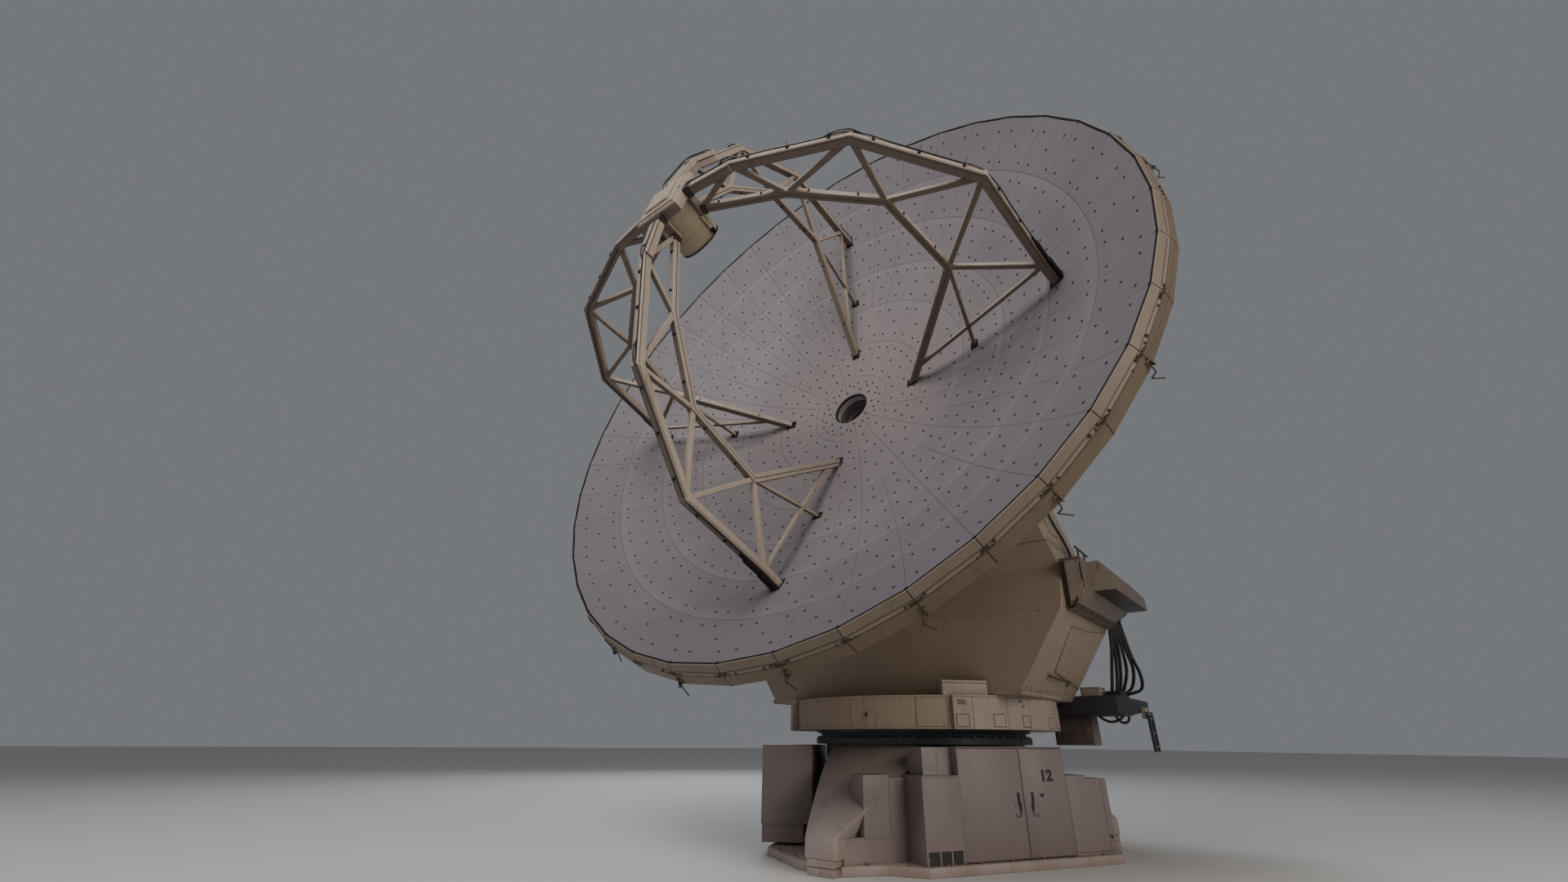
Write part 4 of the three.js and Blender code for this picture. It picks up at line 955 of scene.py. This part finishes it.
back_paint = segment_paint("back_paint", (0.33, 0.265, 0.215), (0.15, 0.105, 0.075), 0.5, 0.15)
strip_cream = segment_paint("strip_cream", (0.185, 0.143, 0.106), (0.115, 0.080, 0.055), 0.5, 0.35)
strip_brown = segment_paint("strip_brown", (0.150, 0.110, 0.072), (0.070, 0.048, 0.034), 0.6, 0.35)
# Near black: the colour of black parts, and painted shade in the gaps round the rim of the dish.
black_and_gap_shade = paint("black_and_gap_shade", (0.005, 0.0045, 0.0045), (0.012, 0.010, 0.009), 0.2, roughness=0.9)
for quarter in range(1, 5):
    bm = copy_node(f"back_structure_{quarter}", 0)
    bmesh.ops.transform(bm, matrix=DISH.inverted(), verts=bm.verts)
    for face in bm.faces:
        middle = face.calc_center_median()
        radius = middle.xy.length
        outward = face.normal.xy.dot(middle.xy.normalized())
        if radius > 5.95 and outward > 0.55:
            face.material_index = 1 if middle.z > FASCIA_BREAK[1] else 2
        # Painted shade: the faces in the gap between the panels' rim and the fascia lip are near
        # black.
        elif radius > 5.9 and face.normal.z > 0.5 and middle.z < RIM_Z:
            face.material_index = 3
        elif radius > 5.98 and outward < -0.5:
            face.material_index = 3
    edges = [e for e in bm.edges if e.is_manifold and e.calc_face_angle(0) > radians(12)
             and min(v.co.xy.length for v in e.verts) > 6.1]
    bmesh.ops.bevel(bm, geom=edges, offset=0.006, segments=2, profile=0.5, affect="EDGES",
                    clamp_overlap=True, material=-1)
    new_piece(f"back_structure_{quarter}_segments", bm,
              [back_paint, strip_cream, strip_brown, black_and_gap_shade], "dish", DISH,
              smooth=14, replaces=f"back_structure_{quarter}")


def radial_bar(bm, a, b, width, depth, bevel=0, slot=0, aside=0, rise=0, turn=0):
    """A bar between two (radius, height) points in the plane at this turn in degrees."""
    a, b = Vector((a[0], 0, a[1])), Vector((b[0], 0, b[1]))
    along = (b - a).normalized()
    place = turned(turn) @ plane(along, (0, 1, 0), along.cross(Vector((0, 1, 0))), a)
    add_box(bm, (0, aside - width / 2, rise - depth / 2),
            ((b - a).length, aside + width / 2, rise + depth / 2), bevel, place, slot)


bm = bmesh.new()
strip_bolts = [(*CONE_ROOT.lerp(CONE_EDGE, (i + 0.5) / 12), 0.02 * (-1) ** i) for i in range(12)]
for turn in range(0, 360, 18):
    radial_bar(bm, CONE_ROOT, (5.98, RIM_Z - 0.523), 0.07, 0.008, 0.002, turn=turn)
    add_bolts(bm, [(x, y, z - 0.004) for x, z, y in strip_bolts], (0.49, 0, -0.87), 0.010, 0.008,
              1, turned(turn))
bolt_circle(bm, 40, (2.24, 0, -0.652), (0.27, 0, -0.96), 0.014, 0.012, 1, first=4.5)
for turn in range(9, 360, 36):
    radial_bar(bm, (3.3, -0.162), (3.9, 0.176), 0.34, 0.008, 0.003, turn=turn)
    radial_bar(bm, (3.36, -0.128), (3.84, 0.142), 0.26, 0.014, 0.003, turn=turn)
new_piece("back_joint_strips", bm, [back_paint, bolt_metal], "dish", DISH)
rusty_steel = metal("rusty_steel", (0.058, 0.040, 0.029), 0.65, 0.3, (0.035, 0.021, 0.015))
edge_cream = paint("edge_cream", (0.275, 0.22, 0.165), (0.15, 0.092, 0.06), 0.5, 0.6)
line_brown = paint("line_brown", (0.05, 0.034, 0.025), (0.03, 0.02, 0.015), 0.4)


def inside_cad(points, turn, spare=0.03):
    """True where these points on the dish, in the frame turn, lie inside the CAD model's box."""
    return all(low + spare < value < high - spare for point in points
               for low, value, high in zip(cad_low, DISH @ (turn @ Vector(point)), cad_high))


SIDE_SHARE = cos(radians(4.5))
(break_x, break_z), (end_x, end_z) = FASCIA_BREAK, FASCIA_END
flat = break_x * SIDE_SHARE
lip = (FASCIA_LIP[0] - 0.004) * SIDE_SHARE
splice = ((break_x - 0.04, -0.055, break_z - 0.028), (break_x + 0.001, 0.055, break_z + 0.022))
wire = ((end_x - 0.03, 0, end_z + 0.15), (end_x + 0.065, -0.07, end_z),
        (end_x + 0.02, -0.12, end_z - 0.06), (end_x + 0.11, -0.02, end_z - 0.17))
gusset = ((end_x - 0.045, -0.004, end_z + 0.19), (end_x + 0.060, -0.004, end_z + 0.045),
          (end_x - 0.012, -0.004, end_z + 0.03))
chance = Random(11)
bm = bmesh.new()
for k in range(40):
    knot, middle = turned(9 * k), turned(9 * k + 4.5)
    for a, b in ((FASCIA_LIP, FASCIA_BREAK), (FASCIA_BREAK, FASCIA_END)):
        radial_bar(bm, a, b, 0.011, 0.005, slot=1, rise=-0.0025, turn=9 * k)
    reach = 0.36 + 0.05 * chance.random()
    add_box(bm, (flat - 0.02, -reach, break_z - 0.010), (flat + 0.001, reach, break_z + 0.006),
            0.002, middle, 4)
    for far, share in ((FASCIA_LIP, 0.22), (FASCIA_END, 0.13)):
        x, z = Vector(FASCIA_BREAK).lerp(Vector(far), share)
        x = x * SIDE_SHARE - 0.008
        half = 0.47 if inside_cad(((x, -0.47, z), (x, 0.47, z)), middle, 0.012) else 0.42
        add_rod(bm, (x, -half, z), (x, half, z), 0.010, 8, 5, turn=middle)
    for y in (-0.45, -0.405, -0.35, -0.24, 0.23, 0.34, 0.40, 0.45):
        if chance.random() < (0.9 if abs(y) > 0.3 else 0.45):
            spot = (flat - 0.004, y + 0.015 * chance.random(),
                    break_z + 0.004 * chance.choice((-3, 0, 4)))
            if inside_cad([spot], middle):
                add_bolts(bm, [spot], (1, 0, 0.4), 0.015, 0.018, 2, middle)
    add_box(bm, (lip - 0.008, -0.47, FASCIA_LIP[1] - 0.004), (lip, 0.47, FASCIA_LIP[1] + 0.002),
            0.001, middle)
    # Painted shade: a near-black strip in the gap under the panels' rim.
    add_box(bm, (5.979, -0.469, RIM_Z - 0.05), (6.004, 0.469, RIM_Z + 0.004), 0, middle, 1)
    add_box(bm, (5.985, -0.022, RIM_Z - 0.03), (6.022, 0.022, RIM_Z + 0.004), 0.002, knot, 1)
    if inside_cad(splice, knot):
        add_box(bm, *splice, 0.003, knot, 2)
    if k % 2 and inside_cad(wire, knot):
        for a, b in pairwise(wire):
            add_rod(bm, a, b, 0.0085, 8, 2, turn=knot)
        add_plate(bm, gusset, (0, 0.008, 0), 2, 0, knot)
        add_box(bm, (end_x - 0.04, -0.05, end_z + 0.02), (end_x - 0.002, 0.05, end_z + 0.13), 0.003,
                knot, 3)
    if k < 7 or k > 36:
        for lift in (0, 0.035):
            x = (break_x * 0.45 + end_x * 0.55) * SIDE_SHARE + 0.004 - lift * 0.21
            z = break_z * 0.45 + end_z * 0.55 + lift
            add_rod(bm, (x, -0.48, z), (x, 0.48, z), 0.006, 8, turn=middle)
new_piece("fascia_fittings", bm, [strip_cream, black_and_gap_shade, rusty_steel, strip_brown, edge_cream,
                                  line_brown], "dish", DISH)

# Reflector: machined aluminium panels on adjusters, each a slice of one parabola, set a few
# millimetres apart, with dark plugs over the adjuster screws.
PANEL_RINGS = (
    (0.38, 0.85, 36, ((0.685, 9.2), (0.685, -9.2), (0.60, 0), (0.50, 17.5))),
    (0.85, 1.70, 18, ((1.0, 0), (1.28, 0), (1.535, 4.3), (1.535, -4.3))),
    (1.70, 2.63, 18, ((1.87, 5.45), (1.87, -5.45), (2.15, 0), (2.44, 6), (2.44, -6))),
    (2.63, 3.49, 9, ((2.77, 0), (3.05, 0), (3.33, 2.4), (3.33, -2.4))),
    (3.49, 4.345, 9, ((3.65, 2.75), (3.65, -2.75), (3.925, 0), (4.19, 2.75), (4.19, -2.75))),
    (4.345, 5.17, 9, ((4.49, 2.15), (4.49, -2.15), (4.76, 0), (5.015, 2.95), (5.015, -2.95))),
    (5.17, 6.0, 9, ((5.30, 2.95), (5.30, -2.95), (5.55, 0), (5.79, 2.9), (5.79, -2.9))),
)
RING_EDGES = [row[1] for row in PANEL_RINGS[:-1]]
PANEL_GAP, PANEL_THICK, FIRST_SECTOR = 0.0026, 0.04, 18
panel_metal, at = new_material("panel_metal")
radius, turn = polar(at)
outer = at.math("GREATER_THAN", radius, RING_EDGES[2])
cell = at.math("FLOOR", turn / 9) * outer + at.math("FLOOR", turn / 18) * (1 - outer) * 2
ring = sum((at.math("GREATER_THAN", radius, edge) for edge in RING_EDGES), outer * 0)
chip = at.node("CombineXYZ", {0: cell, 1: ring, 2: 0.5})
batch = at.node("TexWhiteNoise", {"Vector": chip}, {"noise_dimensions": "3D"})
veil = at.noise(0.45, 4, rough=0.6).step(0.35, 0.68)
washed = at.noise(1.5, 5, (2.5, 2.5, 0.25), 0.65).step(0.48, 0.82)
# Painted highlight: a lighter band just inside each outer ring edge of the panels.
ring_edge_highlight = sum(radius.step(edge - 0.32, edge) * at.math("LESS_THAN", radius, edge)
            for edge in RING_EDGES[2:])
seam = near_line(at, turn, 9, 0.016, radius * (pi / 180)) * outer
seam = seam + near_line(at, turn, 18, 0.016, radius * (pi / 180)) * (1 - outer)
seam = sum((at.math("COMPARE", radius, edge, 0.012) for edge in RING_EDGES), seam)
seam = at.math("MINIMUM", seam, 1) * at.noise(2.2, 3).step(0.25, 0.65)
tone = batch.blend((0.262, 0.235, 0.252), (0.282, 0.254, 0.270))
# Painted light and shade: the panels are lighter towards the middle and darker towards the rim.
for mask, colour in (
        (veil * 0.30, (0.215, 0.197, 0.228)), (washed * 0.30, (0.265, 0.205, 0.175)),
        (radius.step(4.6, 0.6) * 0.45, (0.35, 0.288, 0.275)),
        (radius.step(2.2, 6.2) * 0.62, (0.165, 0.152, 0.178)),
        (ring_edge_highlight * 0.22, (0.36, 0.315, 0.315)), (seam * 0.20, (0.11, 0.09, 0.09))):
    tone = mask.blend(tone, colour)
mill = at.noise(150, 2, rough=0.6)
close_material(at, mill + at.noise(12, 3) * 0.8, 0.0006, Base_Color=tone,
               Metallic=veil * 0.1 + 0.22, Roughness=washed * 0.12 + mill * 0.1 + 0.50)
plug_dark = paint("plug_dark", (0.008, 0.007, 0.007), (0.02, 0.015, 0.014), 0.3, roughness=0.85)


def bowl(radius):
    return radius ** 2 / FOCAL_BY_FOUR


def add_panel(bm, inner, outer, start, span):
    """One panel: the parabola's line in section, spun over its span and given its thickness."""
    gap = degrees(PANEL_GAP / (inner + outer))
    inner, outer = inner + PANEL_GAP / 2, outer - PANEL_GAP / 2
    radii = [inner + (outer - inner) * i / 4 for i in range(5)]
    line = [bm.verts.new(turned(start + gap) @ Vector((r, 0, bowl(r)))) for r in radii]
    edges = [bm.edges.new(pair) for pair in pairwise(line)]
    before = set(bm.faces)
    bmesh.ops.spin(bm, geom=line + edges, axis=(0, 0, 1), cent=(0, 0, 0), dvec=(0, 0, 0),
                   angle=radians(span - 2 * gap), steps=max(3, round(span / 3)))
    faces = list(set(bm.faces) - before)
    if outer > 5.9:
        across = turned(start + span / 2).to_3x3() @ Vector((1, 0, 0))
        limit = RIM_RADIUS * cos(radians(span / 2)) - PANEL_GAP / 2
        for vert in {v for f in faces for v in f.verts}:
            reach = vert.co.xy.dot(across.xy)
            if reach > limit:
                vert.co.xy *= limit / reach
                vert.co.z = bowl(vert.co.xy.length)
    bmesh.ops.recalc_face_normals(bm, faces=faces)
    if faces[0].normal.z < 0:
        bmesh.ops.reverse_faces(bm, faces=faces)
    rim = [e for e in {e for f in faces for e in f.edges} if e.is_boundary]
    skirt = bmesh.ops.extrude_edge_only(bm, edges=rim)["geom"]
    low = [part for part in skirt if isinstance(part, bmesh.types.BMVert)]
    bmesh.ops.translate(bm, vec=(0, 0, -PANEL_THICK), verts=low)
    bmesh.ops.bevel(bm, geom=[e for e in rim if e.is_valid], offset=0.0025, segments=1,
                    profile=0.5, affect="EDGES", material=-1)
    hole = [e for e in {e for v in low if v.is_valid for e in v.link_edges} if e.is_boundary]
    bmesh.ops.holes_fill(bm, edges=hole, sides=0)


for sector in range(8):
    bm, plugs = bmesh.new(), bmesh.new()
    first = FIRST_SECTOR + 45 * sector
    for inner, outer, span, dots in PANEL_RINGS:
        for start in range(0, 360, span):
            if (start + span / 2 - first) % 360 < 45:
                add_panel(bm, inner, outer, start, span)
                for reach, aside in dots:
                    spot = Vector((reach, 0, bowl(reach)))
                    out = Vector((-2 * reach / FOCAL_BY_FOUR, 0, 1)).normalized()
                    add_rod(plugs, spot - out * 0.004, spot + out * 0.003, 0.023, 8,
                            turn=turned(start + span / 2 + aside))
    new_piece(f"reflector_{sector + 1}_panels", bm, [panel_metal], "dish",
              DISH, smooth=25, replaces=f"reflector_{sector + 1}")
    new_piece(f"reflector_{sector + 1}_plugs", plugs, [plug_dark], "dish", DISH)

# Vertex tube: the open throat in the middle of the dish, a black gasket and a flanged
# aluminium ring over a dark lined tube with a membrane deep inside.
tube_grey = paint("tube_grey", (0.17, 0.145, 0.145), (0.08, 0.06, 0.05), 0.4)
flange_grey = paint("flange_grey", (0.44, 0.395, 0.385), (0.22, 0.18, 0.16), 0.3)
bm = bmesh.new()
for inner, outer, z0, z1, slot in (
        (0.353, 0.373, -0.30, -0.045, 0), (0.337, 0.353, -0.40, -0.19, 1),
        (0.300, 0.377, -0.74, -0.40, 1), (0.344, 0.354, -0.20, -0.175, 2),
        (0.350, 0.376, -0.044, -0.012, 2)):
    for start in (0, 180):
        arc_plate(bm, (inner, outer), (z0, z1), start, start + 180, slot, step=5)
add_rod(bm, (0, 0, -0.66), (0, 0, -0.65), 0.302, 64, 2)
bolt_circle(bm, 20, (0.363, 0, -0.014), (0, 0, 1), 0.006, 0.004, 3)
new_piece("vertex_throat", bm, [flange_grey, tube_grey, black_and_gap_shade, bolt_metal], "dish",
          DISH, replaces="vertex_tube")

# Truss legs: four arched legs of square steel tube, welded at the nodes, that carry the second
# mirror. Cables run along their outer chords and the feet stand on dark pads on the panels.
OUTER_CHORD = [Vector(node) for node in ((0.4365, 5.2645), (1.30, 5.18), (2.98, 4.58),
                                         (4.24, 3.16), (4.43, 1.41), (4.4995, 1.035))]
INNER_CHORD = [Vector(node) for node in ((0.4365, 4.919), (1.75, 4.42), (2.93, 3.55),
                                         (3.20, 2.09), (1.486, 0.103))]
MIDDLE_FOOT, INNER_CROSSING = (2.873, 0.415), (1.79, 0.42)
truss_paint = paint("truss_paint", (0.42, 0.345, 0.285), (0.20, 0.14, 0.10), 0.5, 0.45)
# Painted shade: a darker copy of the truss paint, given to the faces that look down.
truss_underside_shade = paint("truss_underside_shade", (0.165, 0.125, 0.098), (0.09, 0.062, 0.045), 0.5, 0.3)


def add_tube(bm, points, radius, slot=0):
    """A round cable on a smooth curve through the points."""
    line = bpy.data.curves.new("route", "CURVE")
    line.dimensions = "3D"
    line.bevel_depth = radius
    line.bevel_resolution = 2
    line.resolution_u = 3
    line.use_fill_caps = True
    spline = line.splines.new("BEZIER")
    spline.bezier_points.add(len(points) - 1)
    for knot, point in zip(spline.bezier_points, points):
        knot.co = point
        knot.handle_left_type = knot.handle_right_type = "AUTO"
    holder = bpy.data.objects.new("route", line)
    mesh = bpy.data.meshes.new_from_object(holder)
    bpy.data.objects.remove(holder)
    before = set(bm.faces)
    bm.from_mesh(mesh)
    bpy.data.meshes.remove(mesh)
    verts = {v for f in set(bm.faces) - before for v in f.verts}
    bmesh.ops.remove_doubles(bm, verts=list(verts), dist=1e-5)
    close_part(bm, set(bm.faces) - before, 0, slot)


def shade_undersides(bm, place):
    """Gives the clean faces that look down, once placed, the painted shade of slot 2."""
    bm.normal_update()
    bmesh.ops.recalc_face_normals(bm, faces=bm.faces)
    for face in bm.faces:
        if face.material_index == 0 and (place.to_3x3() @ face.normal).z < -0.35:
            face.material_index = 2


for side, turn in (("right", 0), ("top", 90), ("left", 180), ("bottom", 270)):
    place = DISH @ turned(turn)
    bm = bmesh.new()
    for i, (a, b) in enumerate(pairwise(OUTER_CHORD)):
        half = 0.1 if i == 0 else 0.07
        radial_bar(bm, a, b, half * 2, 0.14, 0.009)
        for way in (-1, 1):
            radial_bar(bm, a, b, 0.010, 0.002, slot=1, aside=way * (half - 0.028), rise=0.07)
            radial_bar(bm, a, b, 0.002, 0.010, slot=1, aside=way * half, rise=0.040)
    for i, (a, b) in enumerate(pairwise(INNER_CHORD)):
        radial_bar(bm, a, b, 0.115, 0.14 if i == 3 else 0.115, 0.009)
        for aside in (-0.0575, 0.0575):
            radial_bar(bm, a, b, 0.002, 0.013, slot=1, aside=aside)
    for a, b in ((0, 1), (1, 1), (1, 2), (2, 2), (2, 3), (3, 3), (3, 4)):
        radial_bar(bm, INNER_CHORD[a], OUTER_CHORD[b], 0.08, 0.08, 0.007)
    radial_bar(bm, INNER_CHORD[3], MIDDLE_FOOT, 0.06, 0.06, 0.006)
    radial_bar(bm, OUTER_CHORD[4], INNER_CROSSING, 0.06, 0.06, 0.006)
    for chord, half, radius, bevel in ((OUTER_CHORD[1:5], 0.0705, 0.0715, 0.006),
                                       (INNER_CHORD[1:4], 0.058, 0.0585, 0.005)):
        for x, z in chord:
            add_rod(bm, (x, -half, z), (x, half, z), radius, 28, bevel=bevel)
    # Painted shade on the faces of the truss that look down.
    shade_undersides(bm, place)
    new_piece(f"quadripod_leg_{side}_truss", bm, [truss_paint, seam_dark, truss_underside_shade], "dish",
              place, replaces=f"quadripod_leg_{side}")
    bm = bmesh.new()
    for (x, _), long in ((OUTER_CHORD[5], 0.26), (INNER_CHORD[4], 0.24), (MIDDLE_FOOT, 0.15)):
        slope = degrees(atan2(2 * x, FOCAL_BY_FOUR))
        pad = Matrix.Translation((x, 0, bowl(x) + 0.004)) @ turned(-slope, "Y")
        add_box(bm, (-long / 2, -0.09, -0.008), (long / 2, 0.09, 0.012), 0.004, pad, 1)
        add_bolts(bm, product((0.03 - long / 2, long / 2 - 0.03), (-0.07, 0.07), (0.010,)),
                  (0, 0, 1), 0.011, 0.012, 2, pad)
    for a, b, width, depth, bevel, rise in (
            ((4.425, 1.46), (4.485, 1.10), 0.12, 0.06, 0.008, 0.098),
            ((4.385, 1.83), (4.425, 1.46), 0.10, 0.045, 0.008, 0.092),
            ((4.372, 1.95), (4.385, 1.83), 0.05, 0.03, 0.004, 0.084)):
        radial_bar(bm, a, b, width, depth, bevel, 1, rise=rise)
    on_top = side != "left"
    out, aside = (0.079, 0.035) if on_top else (0, 0.080)
    chance = Random(60 + turn)
    for a, b in pairwise(OUTER_CHORD[1:5]):
        step = (b - a).normalized() * 0.02
        up = Vector((-step.y, 0, step.x)).normalized()
        for along in (0.16, 0.5, 0.84):
            spot = a.lerp(b, along)
            radial_bar(bm, spot - step, spot + step, 0.06, 0.03, 0.003, 1, rise=0.075)
            if on_top and chance.random() < 0.6:
                root = Vector((spot.x, 0.03, spot.y)) + up * 0.06
                add_rod(bm, root, root + up * 0.12, 0.005, 6, 2, end_radius=0.003)
    for a, b in pairwise(INNER_CHORD):
        step = (b - a).normalized() * 0.012
        for spot in (a.lerp(b, 0.22), a.lerp(b, 0.72)):
            if bowl(spot.x) + 0.15 < spot.y:
                radial_bar(bm, spot - step, spot + step, 0.05, 0.15, 0.003, 1)
    route = []
    for i, (a, b) in enumerate(pairwise(OUTER_CHORD[:5])):
        step = (b - a).normalized()
        for along in ((0.06, 0.3, 0.55, 0.8, 0.96) if i < 3 else (0.06, 0.35, 0.7, 0.92)):
            spot = a.lerp(b, along)
            wave = 0.006 * chance.random()
            lift = out + wave * on_top
            route.append(Vector((spot.x - step.y * lift, aside + wave * 2, spot.y + step.x * lift)))
    add_tube(bm, route, 0.009)
    for i in ((4, 9) if on_top else ()):
        start, end = route[i - 1], route[i + 1]
        up = (end - start).normalized().cross(Vector((0, 1, 0)))
        top = route[i] + up * 0.035
        add_tube(bm, [start, start.lerp(top, 0.6) + up * 0.02, top, end.lerp(top, 0.6) + up * 0.02,
                      end], 0.012)
    new_piece(f"quadripod_leg_{side}_fittings", bm,
              [rubber_black, black_and_gap_shade, rusty_steel, truss_paint], "dish", place)

# Apex frame: welded plate and posts where the legs meet, with stacked cover plates and a cable
# tray that runs out along the top leg.
TRAY = [Vector(corner) for corner in ((0.30, 5.40), (1.28, 5.295), (1.95, 5.06))]
TRAY_CABLE = ((0.22, 5.435), (0.30, 5.462), (0.42, 5.452), (0.95, 5.395), (1.28, 5.352),
              (1.62, 5.238), (1.90, 5.135), (1.98, 5.09), (2.02, 5.03))
bm = copy_node("apex_frame", 0.008)
# Painted shade: the faces that look down take the dark underside paint of the truss.
for face in bm.faces:
    face.material_index = int(face.normal.z < -0.3)
new_piece("apex_frame_weldment", bm, [truss_paint, truss_underside_shade], "dish",
          replaces="apex_frame")
bm = bmesh.new()
for half, z0, z1 in ((0.42, 5.345, 5.365), (0.36, 5.365, 5.395), (0.26, 5.395, 5.43)):
    add_box(bm, (-half, -half, z0), (half, half, z1))
add_bolts(bm, product((-0.38, 0, 0.38), (-0.38, 0, 0.38), (5.365,)), (0, 0, 1), 0.012, 0.012, 2)
for a, b in pairwise(TRAY):
    radial_bar(bm, a, b, 0.30, 0.010, 0.002, turn=90)
    for aside in (-0.15, 0.15):
        radial_bar(bm, a, b, 0.010, 0.075, 0.002, aside=aside, rise=-0.03, turn=90)
    radial_bar(bm, a, b, 0.22, 0.012, 0.003, rise=-0.045, turn=90)
for along, width in ((0.2, 0.32), (0.5, 0.26), (0.8, 0.32)):
    spot, step = TRAY[0].lerp(TRAY[1], along), Vector((0.10, -0.011))
    radial_bar(bm, spot - step, spot + step, width, 0.02, 0.003, rise=-0.06, turn=90)
for x in (0.045, -0.03):
    add_tube(bm, [Vector((x, y, z)) for y, z in TRAY_CABLE], 0.010, 1)
for turn in (0, 90, 180, 270):
    add_bolts(bm, product((0.436,), (-0.055, 0.055), (4.90, 5.02, 5.14)), (1, 0, 0), 0.010,
              0.009, 2, turned(turn))
    radial_bar(bm, (0.437, 5.262), (0.56, 5.25), 0.225, 0.165, 0.004, 3, turn=turn)
    radial_bar(bm, (0.437, 4.919), (0.53, 4.884), 0.14, 0.14, 0.004, 3, turn=turn)
new_piece("apex_cover_plates", bm, [truss_paint, rubber_black, bolt_metal, brown_band], "dish",
          DISH)

# Drum: the housing of the secondary mirror and its drives, khaki sheet with a dark rubber lip,
# a polished convex mirror in its mouth and a rod with a knob beside it.
DRUM_RADIUS, DRUM_LOW, DRUM_HIGH = 0.375, 4.5, 5.1897
ROD_REACH, ROD_TURN = 0.415, turned(-15)
khaki_paint = paint("khaki_paint", (0.345, 0.276, 0.184), (0.17, 0.12, 0.075), 0.3, 0.1)
mirror_metal = metal("mirror_metal", (0.50, 0.48, 0.47), 0.22, 0.95, (0.30, 0.27, 0.25))
bm = bmesh.new()
for z0, z1, radius, bevel in ((DRUM_LOW + 0.06, DRUM_HIGH, DRUM_RADIUS - 0.006, 0.006),
                              (4.74, 4.76, DRUM_RADIUS - 0.001, 0.003),
                              (5.02, 5.04, DRUM_RADIUS - 0.001, 0.003)):
    add_rod(bm, (0, 0, z0), (0, 0, z1), radius, 80, bevel=bevel)
for inner, outer, z0, z1, slot, bevel in (
        (0.352, DRUM_RADIUS, 0, 0.034, 2, 0.003),
        (0.352, DRUM_RADIUS - 0.004, 0.0342, 0.0598, 0, 0.003), (0.30, 0.354, 0.02, 0.05, 2, 0)):
    for start in (0, 180):
        arc_plate(bm, (inner, outer), (DRUM_LOW + z0, DRUM_LOW + z1), start, start + 180, slot,
                  bevel, 4.5)
mirror = bmesh.ops.create_uvsphere(bm, u_segments=48, v_segments=24, radius=0.32,
                                   matrix=Matrix.Translation((0, 0, DRUM_LOW + 0.10))
                                   @ Matrix.Diagonal((1, 1, 0.22, 1)))
close_part(bm, {f for v in mirror["verts"] for f in v.link_faces}, 0, 3)
for z in (4.70, 4.98, 5.08):
    bolt_circle(bm, 10, (DRUM_RADIUS - 0.006, 0, z), (1, 0, 0), 0.007, 0.005, 4, first=18)
add_rod(bm, (ROD_REACH, 0, 4.60), (ROD_REACH, 0, 4.86), 0.021, 14, 5, turn=ROD_TURN)
add_rod(bm, (ROD_REACH, 0, 4.54), (ROD_REACH, 0, 4.63), 0.034, 18, 1, 0.006, ROD_TURN)
for z in (4.70, 4.84):
    add_rod(bm, (ROD_REACH * 0.88, 0, z), (ROD_REACH * 1.04, 0, z), 0.012, 10, 4, turn=ROD_TURN)
new_piece("subreflector_drum_housing", bm,
          [khaki_paint, black_and_gap_shade, brown_band, mirror_metal, bolt_metal, truss_paint], "dish",
          DISH, replaces="subreflector_drum")
